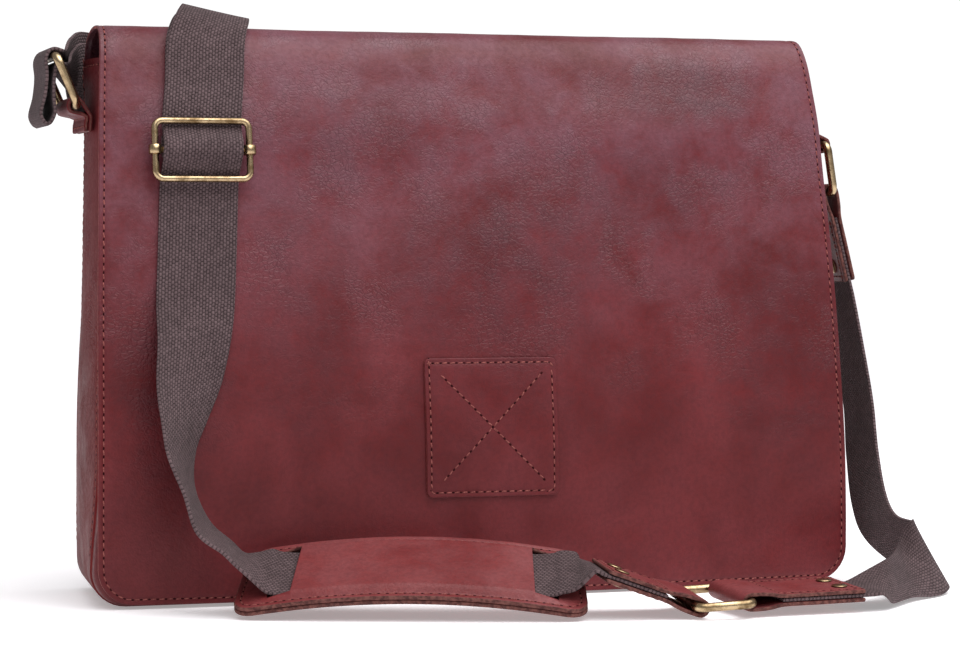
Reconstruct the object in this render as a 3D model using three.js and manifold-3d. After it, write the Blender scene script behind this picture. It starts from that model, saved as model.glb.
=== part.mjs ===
import * as THREE from 'three';
import Module from 'manifold-3d';

const wasm = await Module();
wasm.setup();

// Leather messenger bag, standing on its base with the strap laid in front.
// Millimetres, +X to the right of the front, +Y to the back, +Z up.
// The origin is the middle of the flat base.

// Walls, webbing and wire
const wallThick = 2;
const seamGap = 0.6;
const restGap = 1.2;
const webWide = 40;
const webThick = 1.8;
const strapLeather = 1.8;
const ringWire = 2.25;
const wrapGap = 0.5;

// Bag body
const bodyTop = 265;
const gussetTop = 275;
const edgeRoll = 9;
const baseCorner = 18;
const gussetSwell = 2;
const flapCorner = 17.5;
const flapEdgeDrop = 1.2;

// Half widths of the two panels and the back panel's place, from the base upwards
const bodyRows = [
  { height: 0, frontHalf: 202, backHalf: 196, back: 46 },
  { height: 20, frontHalf: 202, backHalf: 196.5, back: 46 },
  { height: 60, frontHalf: 198.5, backHalf: 196.5, back: 46 },
  { height: 110, frontHalf: 196.5, backHalf: 195.5, back: 46 },
  { height: 150, frontHalf: 194.5, backHalf: 193.5, back: 45.6 },
  { height: 230, frontHalf: 191, backHalf: 192, back: 43.5 },
  { height: 276, frontHalf: 189, backHalf: 192, back: 41 },
];

// The flap's outside from its seam on the back, over the top, to its lower edge
const flapRows = [
  { y: 46.6, z: 222, half: 190 },
  { y: 45.4, z: 248, half: 190 },
  { y: 43.2, z: 270, half: 190.5 },
  { y: 35, z: 284.5, half: 190.8 },
  { y: 20, z: 290.6, half: 191 },
  { y: 4, z: 291.7, half: 191 },
  { y: -8, z: 289, half: 191.3 },
  { y: -16.5, z: 279, half: 192.2 },
  { y: -22.5, z: 262, half: 193.4 },
  { y: -27.7, z: 244, half: 194.5 },
  { y: -32, z: 220, half: 195.4 },
  { y: -38, z: 186, half: 196.8 },
  { y: -43.4, z: 149, half: 198 },
  { y: -48.7, z: 106, half: 199 },
  { y: -51.6, z: 78, half: 199.6 },
  { y: -53, z: 40, half: 200 },
  { y: -53, z: 2.5, half: 200 },
];

// Soft swellings and hollows of the front, measured forwards
const frontShapes = [
  { x: 0, z: 70, out: 3.5, wide: 130, high: 90 },
  { x: -70, z: 200, out: -1.6, wide: 60, high: 32 },
  { x: 95, z: 235, out: 1.8, wide: 55, high: 24 },
  { x: 155, z: 205, out: -1.8, wide: 34, high: 40 },
  { x: 20, z: 165, out: 1.6, wide: 60, high: 40 },
];

// Square patch on the flap
const patch = { x: 2.3, z: 87, size: 70.5, thick: 1.6, chamfer: 2 };

// Slider of the strap
const slider = {
  x: -144.3, z: 226.5, wide: 48, high: 29.5, wire: 1.75, corner: 4, frameLift: 7.6, barLift: 7, bar: 1.6,
};
const collar = { inner: 2.1, outer: 3.3, long: 5 };

// Rectangular rings: length across the strap, and the middle of each ring's two long bars
const ring = { long: 49, corner: 4.5 };
const leftTabBar = new THREE.Vector3(-202.5, 14, 250.5);
const leftFreeBar = new THREE.Vector3(-213, 14, 275.3);
const rightTabBar = new THREE.Vector3(206, 12, 234.5);
const rightFreeBar = new THREE.Vector3(210, 12, 208.5);
const floorLeftBar = new THREE.Vector3(71.5, -148.8, 7.3);
const floorRightBar = new THREE.Vector3(99.2, -151.4, 8.7);
const floorWidth = new THREE.Vector3(0.09, 0.985, 0.05).normalize();

// Tabs of the two rings on the bag: heights where their sewn layers start and end
const leftTab = { far: 237.5, near: 245.5 };
const rightTab = { far: 256, near: 243 };

// Shoulder pad, tilted against the bag
const pad = {
  wide: 57, tilt: 24.4, arch: 9, splay: 8.6, layer: 2.2, corner: 11, slitHalf: 5.6, raise: 2.6, slitIn: [21.8, 19.4],
};
const padNearLeft = new THREE.Vector3(-143.3, -107.2, 0.3);
const padNearRight = new THREE.Vector3(15.5, -162, 0.3);

// Folded leather ends of the strap: length, spare length of the loop, and direction away from the ring
const leftFold = { long: 49, slack: 3.2 };
const rightFold = { long: 62, slack: 3.2, away: [61.5, 3, 0.8] };
const hangerFold = { long: 50, slack: 0.3, away: [12, 0, -48.5] };

// Rivets of the folded strap ends
const rivet = { cap: 4, dome: 0.9, shank: 1.9, hole: 2.5, fromEnd: 9, apart: 8.5 };

// The strap's middle line on the front of the flap
const strapRows = [
  { height: 40, x: -155 },
  { height: 58, x: -158.5 },
  { height: 70, x: -162 },
  { height: 85, x: -161 },
  { height: 95, x: -159 },
  { height: 133, x: -151.5 },
  { height: 178, x: -147.6 },
  { height: 243, x: -143 },
  { height: 290, x: -136.4 },
];

// Webbing behind the slider: height above the bar and lift off the leather, before and after the bar
const sewnRows = [
  { above: 8, lift: 1.6 },
  { above: 4, lift: 2.3 },
];
const risingRows = [
  { above: 4, lift: 8.9 },
  { above: 8.5, lift: 4.8 },
  { above: 14, lift: 1.6 },
  { above: 22, lift: 1.5 },
  { above: 35.5, lift: 1.5 },
];

// Webbing from the top of the flap around the back corner to the left ring: place and width direction
const innerRows = [
  { at: [-139, -18.5, 283], width: [1, 0, 0] },
  { at: [-135.5, -10.5, 292.8], width: [0.98, 0.15, -0.05] },
  { at: [-130, 6, 296.2], width: [0.95, 0.28, -0.12] },
  { at: [-126, 25.5, 294], width: [0.95, 0.25, -0.14] },
  { at: [-124, 42.5, 283], width: [0.92, 0.22, -0.32] },
  { at: [-135, 49.5, 267], width: [0.7, 0.1, -0.7] },
  { at: [-160, 51.5, 262], width: [0.3, 0, -0.95] },
  { at: [-186.5, 51, 266], width: [0.1, 0.2, -0.97] },
  { at: [-197, 39.5, 266], width: [0.1, 0.7, -0.7] },
  { at: [-202, 25.5, 267.5], width: [0.1, 0.95, -0.3] },
  { at: [-207.5, 16, 270.5], width: [0, 1, -0.05] },
];

// Slack loop of the webbing on the left ring: under the free bar, down, up again outside and over the bar
const loopRows = [
  { x: -211.6, z: 271.8 },
  { x: -213.4, z: 264 },
  { x: -213.6, z: 254 },
  { x: -213.2, z: 246.5 },
  { x: -216.6, z: 241 },
  { x: -220.2, z: 246 },
  { x: -218, z: 256 },
  { x: -217, z: 266 },
  { x: -217.6, z: 273.5 },
  { x: -216, z: 277.7 },
  { x: -213, z: 279.1 },
];

// Webbing from the loop back around the corner and over the first layer
const outerRows = [
  { at: [-208.5, 15, 278], width: [0, 1, 0] },
  { at: [-203.5, 27, 273.5], width: [0.1, 0.95, -0.3] },
  { at: [-197.5, 42, 273], width: [0.1, 0.7, -0.7] },
  { at: [-186, 54.5, 272], width: [0.1, 0.15, -0.98] },
  { at: [-164, 57, 270], width: [0.25, 0, -0.97] },
  { at: [-137, 55.5, 273], width: [0.7, 0.1, -0.7] },
  { at: [-124.5, 45, 286.5], width: [0.92, 0.22, -0.32] },
  { at: [-126, 27, 297.4], width: [0.94, 0.26, -0.16] },
  { at: [-128.5, 6, 299.7], width: [0.93, 0.3, -0.16] },
  { at: [-133.8, -12.5, 295.2], width: [0.98, 0.16, -0.07] },
  { at: [-138.8, -21.2, 283.5], width: [1, 0, 0] },
];

// Webbing down the front, over the slider: height from its bar, lift, and turn of its left edge to the front
const frontRows = [
  { above: 35.5, lift: 3.8, turn: 0 },
  { above: 22, lift: 3.8, turn: 0 },
  { above: 14.4, lift: 3.9, turn: 0 },
  { above: 8.5, lift: 7.2, turn: 0 },
  { above: 4, lift: 11.3, turn: 0 },
  { above: 0, lift: 12.5, turn: 0 },
  { above: -4, lift: 11.3, turn: 0 },
  { above: -8.5, lift: 7, turn: 0 },
  { above: -14.4, lift: 2.6, turn: 0 },
  { above: -24, lift: 1.5, turn: 0 },
  { above: -46.5, lift: 1.5, turn: 0 },
  { above: -74.5, lift: 1.6, turn: 2 },
  { above: -93.5, lift: 1.8, turn: 14 },
  { above: -113.5, lift: 1.8, turn: 25 },
  { above: -132.5, lift: 1.8, turn: 45 },
  { above: -148.5, lift: 2, turn: 60 },
  { above: -166.5, lift: 3, turn: 72 },
];
const toPadRows = [
  { at: [-153, -80, 42.5], width: [0.34, 0.94, 0.04] },
  { at: [-142.5, -86, 33], width: [0.31, 0.95, 0.03] },
];

// Webbing through a slit of the pad: distance past the slit and lift over the pad's underside
const slitRows = [
  { past: -8, lift: 8 },
  { past: -4, lift: 5.8 },
  { past: 4, lift: 3.7 },
  { past: 8, lift: 3.5 },
];
const underFace = { lift: 3.45, shares: [0.28, 0.39, 0.5, 0.61, 0.72] };

// Webbing beside the pad's two ends: distance past the end, lift, and turn towards the level
const padStart = [
  { past: 0, lift: 17, level: 23 },
  { past: 7, lift: 12, level: 13 },
];
const padEnd = [
  { past: -4, lift: 10.2, level: 5 },
];
const padLeaving = { past: 6, lift: 12.1 };

// Webbing inside the folded ends, as distances from the ring's bar
const inLeftFold = [52, 47, 30, 14];
const inRightFold = [14, 36, 62, 69];
const inHanger = [60, 53, 32, 14];

// Short webbing: on its lower edge it turns back on the floor, then it rises beside the bag
const shortRows = [
  { at: [184, -141, 11.5], width: [0.25, 0.86, 0.42] },
  { at: [205, -118, 13.6], width: [0.1, 0.82, 0.56] },
  { at: [224, -104, 20], width: [-0.5, 0.1, 0.86] },
  { at: [222, -84, 22], width: [-0.25, -0.6, 0.75] },
  { at: [217, -60, 30], width: [0, -0.9, 0.42] },
  { at: [219, -40, 43], width: [0.03, -0.96, 0.28] },
  { at: [224, -20, 67], width: [0, -0.99, 0.14] },
  { at: [226.4, -9, 94.5], width: [-0.03, -1, 0.08] },
  { at: [225.5, 4, 128], width: [0, -1, 0] },
];

const vec = (x, y, z) => new THREE.Vector3(x, y, z);
const mix = (a, b, share) => a + (b - a) * share;
const clamp = (value, low, high) => Math.min(high, Math.max(low, value));
const smooth = (low, high, value) => {
  const share = clamp((value - low) / (high - low), 0, 1);
  return share * share * (3 - 2 * share);
};
const steps = (count) => Array.from({ length: count + 1 }, (unused, index) => index / count);

// A smooth reading of a table's column at a value of its key column
function reading(rows, key) {
  const slope = (index, column) => {
    const before = rows[Math.max(0, index - 1)];
    const after = rows[Math.min(rows.length - 1, index + 1)];
    return (after[column] - before[column]) / (after[key] - before[key]);
  };
  return (column, at) => {
    let index = 0;
    while (index < rows.length - 2 && at > rows[index + 1][key]) index += 1;
    const low = rows[index];
    const high = rows[index + 1];
    const span = high[key] - low[key];
    const t = clamp((at - low[key]) / span, 0, 1);
    const a = slope(index, column) * span;
    const b = slope(index + 1, column) * span;
    const rise = high[column] - low[column];
    return low[column] + t * (a + t * (3 * rise - 2 * a - b + t * (a + b - 2 * rise)));
  };
}

// Closed solid between an outer and an inner grid of points
function slab(outer, inner, keep = () => true) {
  const rows = outer.length;
  const columns = outer[0].length;
  const points = [...outer.flat(), ...inner.flat()];
  const outside = (row, column) => row * columns + column;
  const inside = (row, column) => rows * columns + row * columns + column;
  const kept = (row, column) =>
    row >= 0 && column >= 0 && row < rows - 1 && column < columns - 1 && keep(row, column);
  const index = [];
  const quad = (a, b, c, d) => index.push(a, b, c, a, c, d);
  for (let row = 0; row < rows - 1; row += 1) {
    for (let column = 0; column < columns - 1; column += 1) {
      if (!kept(row, column)) continue;
      const [next, beside] = [row + 1, column + 1];
      quad(outside(row, column), outside(row, beside), outside(next, beside), outside(next, column));
      quad(inside(row, column), inside(next, column), inside(next, beside), inside(row, beside));
      const edge = (r0, c0, r1, c1) => quad(outside(r0, c0), inside(r0, c0), inside(r1, c1), outside(r1, c1));
      if (!kept(row - 1, column)) edge(row, column, row, beside);
      if (!kept(row, beside)) edge(row, beside, next, beside);
      if (!kept(next, column)) edge(next, beside, next, column);
      if (!kept(row, column - 1)) edge(next, column, row, column);
    }
  }
  return solid(points, index);
}

// Geometry with its faces turned outwards
function solid(points, index) {
  const used = [...new Set(index)];
  const place = new Map(used.map((name, order) => [name, order]));
  const faces = index.map((name) => place.get(name));
  let volume = 0;
  for (let i = 0; i < index.length; i += 3) {
    const [a, b, c] = [points[index[i]], points[index[i + 1]], points[index[i + 2]]];
    volume += a.dot(b.clone().cross(c));
  }
  if (volume < 0) faces.reverse();
  const geometry = new THREE.BufferGeometry();
  const values = used.flatMap((name) => points[name].toArray());
  geometry.setAttribute('position', new THREE.Float32BufferAttribute(values, 3));
  geometry.setIndex(faces);
  geometry.computeVertexNormals();
  return geometry;
}

// Ribbon of a given width and thickness through stations of a place and a width direction
function ribbon(stations, wide, thick, between) {
  const curve = (column) =>
    new THREE.CatmullRomCurve3(stations.map((station) => station[column]), false, 'catmullrom', 0.5);
  const path = curve('place');
  const lean = curve('across');
  const upper = [];
  const lower = [];
  for (const t of steps((stations.length - 1) * between)) {
    const place = path.getPoint(t);
    const along = path.getTangent(t);
    const across = lean.getPoint(t).normalize();
    const normal = along.clone().cross(across).normalize();
    const at = (side, face) =>
      place.clone().addScaledVector(across, side * wide / 2).addScaledVector(normal, face * thick / 2);
    upper.push([at(-1, 1), at(1, 1)]);
    lower.push([at(-1, -1), at(1, -1)]);
  }
  return slab(upper, lower);
}

// Round wire around a closed path
function wireLoop(path, radius, sides) {
  const points = [];
  const count = path.length;
  const middle = path.reduce((sum, point) => sum.add(point), vec(0, 0, 0)).divideScalar(count);
  const axis = path[0].clone().sub(middle).cross(path[Math.floor(count / 4)].clone().sub(middle)).normalize();
  path.forEach((point, order) => {
    const along = path[(order + 1) % count].clone().sub(path[(order + count - 1) % count]).normalize();
    const outward = along.clone().cross(axis).normalize();
    for (let side = 0; side < sides; side += 1) {
      const angle = (side / sides) * Math.PI * 2;
      const rim = outward.clone().multiplyScalar(radius * Math.cos(angle));
      points.push(point.clone().add(rim).addScaledVector(axis, radius * Math.sin(angle)));
    }
  });
  const index = [];
  for (let order = 0; order < count; order += 1) {
    for (let side = 0; side < sides; side += 1) {
      const next = (order + 1) % count;
      const turn = (side + 1) % sides;
      const [here, there] = [order * sides, next * sides];
      index.push(here + side, there + side, there + turn, here + side, there + turn, here + turn);
    }
  }
  return solid(points, index);
}

// Rounded rectangle in the plane of two directions
function rectanglePath(middle, first, second, long, short, corner, perCorner) {
  const path = [];
  const corners = [[1, 1, 0], [-1, 1, 90], [-1, -1, 180], [1, -1, 270]];
  for (const [a, b, start] of corners) {
    for (const share of steps(perCorner)) {
      const angle = THREE.MathUtils.degToRad(start + 90 * share);
      const u = a * (long / 2 - corner) + corner * Math.cos(angle);
      const v = b * (short / 2 - corner) + corner * Math.sin(angle);
      path.push(middle.clone().addScaledVector(first, u).addScaledVector(second, v));
    }
  }
  return path;
}

// Joins and cuts of closed geometries
function toManifold(geometry) {
  const position = geometry.getAttribute('position');
  const mesh = new wasm.Mesh({
    numProp: 3,
    vertProperties: Float32Array.from(position.array),
    triVerts: Uint32Array.from(geometry.getIndex().array),
  });
  return new wasm.Manifold(mesh);
}

function fromManifold(manifold) {
  const mesh = manifold.getMesh();
  const points = [];
  for (let i = 0; i < mesh.numVert; i += 1) {
    const start = i * mesh.numProp;
    points.push(vec(...mesh.vertProperties.slice(start, start + 3)));
  }
  return solid(points, Array.from(mesh.triVerts));
}

// Solid of revolution about an axis, from rows of distance along it and radius
function turned(rows, base, axis, sides) {
  const side = Math.abs(axis.z) < 0.9 ? vec(0, 0, 1) : vec(1, 0, 0);
  const first = side.clone().cross(axis).normalize();
  const second = axis.clone().cross(first);
  const closed = rows[0].radius > 0;
  const rims = rows.filter((row) => row.radius > 0);
  const points = rims.flatMap((row) => Array.from({ length: sides }, (unused, order) => {
    const angle = (order / sides) * Math.PI * 2;
    return base.clone().addScaledVector(axis, row.along)
      .addScaledVector(first, row.radius * Math.cos(angle))
      .addScaledVector(second, row.radius * Math.sin(angle));
  }));
  const index = [];
  const last = closed ? rims.length : rims.length - 1;
  for (let rim = 0; rim < last; rim += 1) {
    for (let order = 0; order < sides; order += 1) {
      const up = ((rim + 1) % rims.length) * sides;
      const turn = (order + 1) % sides;
      const [a, b, c, d] = [rim * sides + order, rim * sides + turn, up + turn, up + order];
      index.push(a, b, c, a, c, d);
    }
  }
  if (!closed) {
    const ends = [[rows[0], 0], [rows[rows.length - 1], (rims.length - 1) * sides]];
    ends.forEach(([row, start], which) => {
      points.push(base.clone().addScaledVector(axis, row.along));
      for (let order = 0; order < sides; order += 1) {
        const turn = (order + 1) % sides;
        const pair = which === 0 ? [start + turn, start + order] : [start + order, start + turn];
        index.push(points.length - 1, ...pair);
      }
    });
  }
  return solid(points, index);
}

// How far a rounded corner cuts in at a distance from the end
function roundCut(radius, toEnd) {
  return toEnd < radius ? radius - Math.sqrt(radius ** 2 - (radius - toEnd) ** 2) : 0;
}

// The flap's outside
flapRows.forEach((row, order) => {
  const before = flapRows[Math.max(0, order - 1)];
  row.run = order === 0 ? 0 : before.run + Math.hypot(row.y - before.y, row.z - before.z);
});
const flapRun = flapRows[flapRows.length - 1].run;
const flapReading = reading(flapRows, 'run');
const bodyReading = reading(bodyRows, 'height');

function frontShape(x, z) {
  let out = 0;
  for (const shape of frontShapes) {
    const u = (x - shape.x) / shape.wide;
    const v = (z - shape.z) / shape.high;
    out += shape.out * Math.exp(-u * u - v * v);
  }
  return out;
}

function flapAt(x, run) {
  const y = flapReading('y', run);
  const z = flapReading('z', run);
  const ahead = Math.min(flapRun, run + 0.5);
  const behind = Math.max(0, run - 0.5);
  const rise = flapReading('z', ahead) - flapReading('z', behind);
  const reach = flapReading('y', ahead) - flapReading('y', behind);
  const normal = vec(0, rise, -reach).normalize();
  const front = smooth(12, -14, y);
  const out = frontShape(x, z) * front;
  return { place: vec(x, y, z).addScaledVector(normal, out), normal };
}

// The flap's front at a height
function flapFront(x, z) {
  let low = flapRows[5].run;
  let high = flapRun;
  for (let turn = 0; turn < 40; turn += 1) {
    const middle = (low + high) / 2;
    if (flapAt(x, middle).place.z > z) low = middle;
    else high = middle;
  }
  return flapAt(x, low);
}

function flapGeometry() {
  const runs = [];
  for (let order = 0; order < flapRows.length - 1; order += 1) {
    const share = order < 7 ? 2 : 1;
    for (let part = 0; part < share; part += 1) {
      runs.push(mix(flapRows[order].run, flapRows[order + 1].run, part / share));
    }
  }
  while (runs[runs.length - 1] > flapRun - flapCorner - 4) runs.pop();
  for (const share of steps(5)) runs.push(flapRun - flapCorner * (1 - Math.sin(share * Math.PI / 2)));
  const outer = [];
  const inner = [];
  for (const run of runs) {
    const toEdge = flapRun - run;
    const half = flapReading('half', run) - roundCut(flapCorner, toEdge);
    const outerRow = [];
    const innerRow = [];
    for (const share of steps(12)) {
      const x = mix(-half, half, share);
      const { place, normal } = flapAt(x, run);
      place.z -= flapEdgeDrop * (1 - (x / 200) ** 2) * smooth(60, 0, toEdge);
      outerRow.push(place);
      innerRow.push(place.clone().addScaledVector(normal, -wallThick));
    }
    outer.push(outerRow);
    inner.push(innerRow);
  }
  return slab(outer, inner);
}

// Panels and gusset, which share their heights along the seams
const sideHeights = [baseCorner, 34, 64, 94, 124, 154, 184, 214, 240, 254, bodyTop];
const frontFace = (x, z) => {
  const height = clamp(z, 4, bodyTop + 4);
  return flapFront(x, height).place.y + wallThick + restGap;
};
const backFace = (x, z) => bodyReading('back', z);

function outlineHalf(column, z) {
  return bodyReading(column, Math.max(z, baseCorner)) - roundCut(baseCorner, z);
}

function panelGeometry(column, face, towards, across) {
  const heights = steps(4).map((share) => edgeRoll * (1 - Math.cos(share * Math.PI / 2)));
  heights.push(14, ...sideHeights);
  const rolls = steps(3).map((share) => edgeRoll * (1 - Math.cos(share * Math.PI / 2)) / 195);
  const middle = steps(across).slice(1, -1).map((share) => mix(-1, 1, share));
  const shares = [...rolls.map((roll) => roll - 1), ...middle, ...rolls.map((roll) => 1 - roll).reverse()];
  const outer = [];
  const inner = [];
  for (const z of heights) {
    const wide = outlineHalf(column, z);
    const half = bodyReading(column, Math.max(z, baseCorner));
    const outerRow = [];
    const innerRow = [];
    for (const share of shares) {
      const x = wide * share;
      const cornerX = Math.abs(x) - (half - baseCorner);
      const cornerZ = baseCorner - z;
      let inset = Math.min(half - Math.abs(x), z);
      let outward = half - Math.abs(x) < z ? vec(Math.sign(x), 0, 0) : vec(0, 0, -1);
      if (cornerX > 0 && cornerZ > 0) {
        inset = baseCorner - Math.hypot(cornerX, cornerZ);
        outward = vec(Math.sign(x) * cornerX, 0, -cornerZ).normalize();
      }
      const bend = clamp(1 - inset / edgeRoll, 0, 1);
      const depth = edgeRoll * (1 - Math.sqrt(1 - bend * bend));
      const facing = vec(0, towards * Math.sqrt(1 - bend * bend), 0);
      const normal = outward.multiplyScalar(bend).add(facing).normalize();
      const place = vec(x, face(x, z) - towards * depth, z);
      outerRow.push(place);
      innerRow.push(place.clone().addScaledVector(normal, -wallThick));
    }
    outer.push(outerRow);
    inner.push(innerRow);
  }
  return slab(outer, inner);
}

// Places along the gusset's path: outline point, outward direction and how much its side swells
function gussetPath() {
  const path = [];
  const side = (sign) => [...sideHeights, gussetTop].reverse().map((z) => ({ z, sign, angle: 0 }));
  const corner = (sign) => steps(4).slice(1).map((share) => ({ z: 0, sign, angle: share * 90 }));
  path.push(...side(-1), ...corner(-1));
  for (const share of steps(6).slice(1)) path.push({ flat: share });
  path.push(...corner(1).reverse().slice(1), ...side(1).reverse());
  return path;
}

function gussetPoint(spot, column) {
  const half = bodyReading(column, baseCorner);
  if (spot.flat !== undefined) {
    return { x: mix(-1, 1, spot.flat) * (half - baseCorner), z: 0, outX: 0, outZ: -1, swell: 0 };
  }
  if (spot.angle === 0) {
    const x = spot.sign * bodyReading(column, spot.z);
    return { x, z: spot.z, outX: spot.sign, outZ: 0, swell: smooth(10, 60, spot.z) };
  }
  const angle = THREE.MathUtils.degToRad(spot.angle);
  const x = spot.sign * (half - baseCorner + baseCorner * Math.cos(angle));
  const z = baseCorner * (1 - Math.sin(angle));
  return { x, z, outX: spot.sign * Math.cos(angle), outZ: -Math.sin(angle), swell: 0 };
}

function gussetGeometry() {
  const outer = [];
  const inner = [];
  for (const spot of gussetPath()) {
    const front = gussetPoint(spot, 'frontHalf');
    const back = gussetPoint(spot, 'backHalf');
    const startY = frontFace(front.x, front.z) + edgeRoll + seamGap;
    const endY = backFace(back.x, back.z) - edgeRoll - seamGap;
    const outerRow = [];
    const innerRow = [];
    for (const share of steps(6)) {
      const swell = gussetSwell * front.swell * 4 * share * (1 - share);
      const outward = vec(front.outX, 0, front.outZ);
      const place = vec(mix(front.x, back.x, share), mix(startY, endY, share), mix(front.z, back.z, share));
      place.addScaledVector(outward, swell);
      outerRow.push(place);
      innerRow.push(place.clone().addScaledVector(outward, -wallThick));
    }
    outer.push(outerRow);
    inner.push(innerRow);
  }
  return slab(outer, inner);
}

function patchGeometry() {
  const outer = [];
  const inner = [];
  for (const up of steps(6)) {
    const outerRow = [];
    const innerRow = [];
    for (const over of steps(6)) {
      const onCorner = (up === 0 || up === 1) && (over === 0 || over === 1);
      const pull = onCorner ? patch.chamfer / patch.size : 0;
      const x = patch.x + patch.size * (clamp(over, pull, 1 - pull) - 0.5);
      const z = patch.z + patch.size * (clamp(up, pull, 1 - pull) - 0.5);
      const { place, normal } = flapFront(x, z);
      outerRow.push(place.clone().addScaledVector(normal, 0.5 + patch.thick));
      innerRow.push(place.clone().addScaledVector(normal, 0.5));
    }
    outer.push(outerRow);
    inner.push(innerRow);
  }
  return slab(outer, inner);
}

// Stations of the strap: a place and a width direction
const strapLine = reading(strapRows, 'height');
const free = (rows) =>
  rows.map(({ at, width }) => ({ place: vec(...at), across: vec(...width).normalize() }));

function onFlap(above, lift, turn = 0) {
  const angle = THREE.MathUtils.degToRad(turn);
  const z = slider.z + above;
  const { place, normal } = flapFront(strapLine('x', z), z);
  const forward = webWide / 2 * Math.sin(angle);
  place.addScaledVector(normal, lift).add(vec(0, -forward, 0));
  return { place, across: vec(Math.cos(angle), Math.sin(angle), 0) };
}
const alongFlap = (rows) => rows.map(({ above, lift, turn }) => onFlap(above, lift, turn));

function ringGeometry(first, second, across) {
  const middle = first.clone().add(second).multiplyScalar(0.5);
  const over = second.clone().sub(first).normalize();
  const width = across.clone().addScaledVector(over, -across.dot(over)).normalize();
  const between = first.distanceTo(second);
  return wireLoop(rectanglePath(middle, width, over, ring.long, between, ring.corner, 3), ringWire, 8);
}

// Shoulder pad
const padAlong = padNearRight.clone().sub(padNearLeft).normalize();
const padLong = padNearRight.distanceTo(padNearLeft);
const padTilt = THREE.MathUtils.degToRad(pad.tilt);
const padBack = vec(-padAlong.y, padAlong.x, 0);
const padAcross = padBack.clone().multiplyScalar(Math.cos(padTilt)).add(vec(0, 0, Math.sin(padTilt)));
const padNormal = padAlong.clone().cross(padAcross);
function padAt(along, across, lift) {
  const share = along / padLong;
  const arch = pad.arch * (1 - (2 * clamp(share, 0, 1) - 1) ** 2);
  const spread = pad.splay * (0.5 - share) * across / pad.wide;
  return padNearLeft.clone().addScaledVector(padAlong, along + spread)
    .addScaledVector(padAcross, pad.wide / 2 + across).addScaledVector(padNormal, arch + lift);
}
const slits = [pad.slitIn[0], padLong - pad.slitIn[1]];

function padGeometry(bottom, withWeb) {
  const columns = [-28.5, -25.5, -23, -21, -7, 7, 21, 23, 25.5, 28.5];
  const ends = steps(3).map((share) => pad.corner * (1 - Math.cos(share * Math.PI / 2)));
  const slitEdges = slits.map((slit) => [slit - pad.slitHalf, slit + pad.slitHalf]);
  const middle = steps(6).slice(1, -1).map((share) => mix(slitEdges[0][1], slitEdges[1][0], share));
  const [left, right] = pad.slitIn.map((inset) => [...ends, inset / 2]);
  const rows = [
    ...left, ...slitEdges[0], ...middle, ...slitEdges[1], ...right.map((end) => padLong - end).reverse(),
  ];
  const upper = [];
  const lower = [];
  for (const along of rows) {
    const toEnd = Math.min(along, padLong - along);
    const squeeze = 1 - roundCut(pad.corner, toEnd) / (pad.wide / 2);
    const covered = along > slits[0] && along < slits[1];
    const upperRow = [];
    const lowerRow = [];
    for (const column of columns) {
      const raise = withWeb && covered && Math.abs(column) <= 21 ? pad.raise : 0;
      const across = column * squeeze;
      upperRow.push(padAt(along, across, bottom + raise + pad.layer));
      lowerRow.push(padAt(along, across, bottom + raise));
    }
    upper.push(upperRow);
    lower.push(lowerRow);
  }
  const cutRows = slitEdges.map(([first]) => rows.indexOf(first));
  const open = (row, column) => withWeb && cutRows.includes(row) && column >= 3 && column <= 5;
  return slab(upper, lower, (row, column) => !open(row, column));
}

// Leather folded around a ring's bar, with both layers running away from it
const sandwich = webThick / 2 + 0.35 + strapLeather / 2;
function foldedEnd(bar, away, across, { long, slack }) {
  const half = sandwich;
  const d = away.clone().normalize();
  const w = across.clone().addScaledVector(d, -across.dot(d)).normalize();
  const n = w.clone().cross(d).normalize();
  const loop = ringWire + wrapGap + strapLeather / 2;
  const at = (run, rise) => {
    const place = bar.clone().addScaledVector(d, run - slack).addScaledVector(n, rise);
    return { place, across: w };
  };
  const layer = (side) => [
    at(long, side * half), at(long * 0.6, side * half), at(15 + slack, side * half),
    at(8 + slack, side * mix(half, loop, 0.7)), at(3 + slack, side * loop),
  ];
  const bend = steps(6).slice(1, -1).map((share) => {
    const angle = -Math.PI / 2 - share * Math.PI;
    return at(loop * Math.cos(angle), loop * Math.sin(angle));
  });
  const stations = [...layer(-1), at(0, -loop), ...bend, at(0, loop), ...layer(1).reverse()];
  const riveted = bar.clone().addScaledVector(d, long - slack - rivet.fromEnd);
  const spots = [-1, 1].map((side) => riveted.clone().addScaledVector(w, side * rivet.apart));
  return { geometry: ribbon(stations, webWide, strapLeather, 2), d, w, n, bar, spots };
}
const toDepth = vec(0, 1, 0);
const padLeave = padAt(padLong + padLeaving.past, 0, padLeaving.lift);
const connectorLeft = foldedEnd(floorLeftBar, padLeave.clone().sub(floorLeftBar), floorWidth, leftFold);
const connectorRight = foldedEnd(floorRightBar, vec(...rightFold.away), floorWidth, rightFold);
const hanger = foldedEnd(rightFreeBar, vec(...hangerFold.away), toDepth, hangerFold);

const rod = (half, radius) => [
  { along: -half, radius: 0 }, { along: -half, radius }, { along: half, radius }, { along: half, radius: 0 },
];

function drilled(geometry, ends) {
  let body = toManifold(geometry);
  for (const end of ends) {
    for (const spot of end.spots) {
      body = body.subtract(toManifold(turned(rod(9, rivet.hole), spot, end.n, 10)));
    }
  }
  return fromManifold(body);
}

function rivetGeometry(end, spot) {
  const top = sandwich + strapLeather / 2 + 0.3;
  const rows = [
    { along: -top - rivet.dome, radius: 0 },
    { along: -top - rivet.dome, radius: rivet.cap * 0.55 },
    { along: -top - rivet.dome * 0.45, radius: rivet.cap },
    { along: -top, radius: rivet.cap },
    { along: -top, radius: rivet.shank },
    { along: top, radius: rivet.shank },
    { along: top, radius: rivet.cap },
    { along: top + rivet.dome * 0.45, radius: rivet.cap },
    { along: top + rivet.dome, radius: rivet.cap * 0.55 },
    { along: top + rivet.dome, radius: 0 },
  ];
  return turned(rows, spot, end.n, 12);
}

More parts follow.
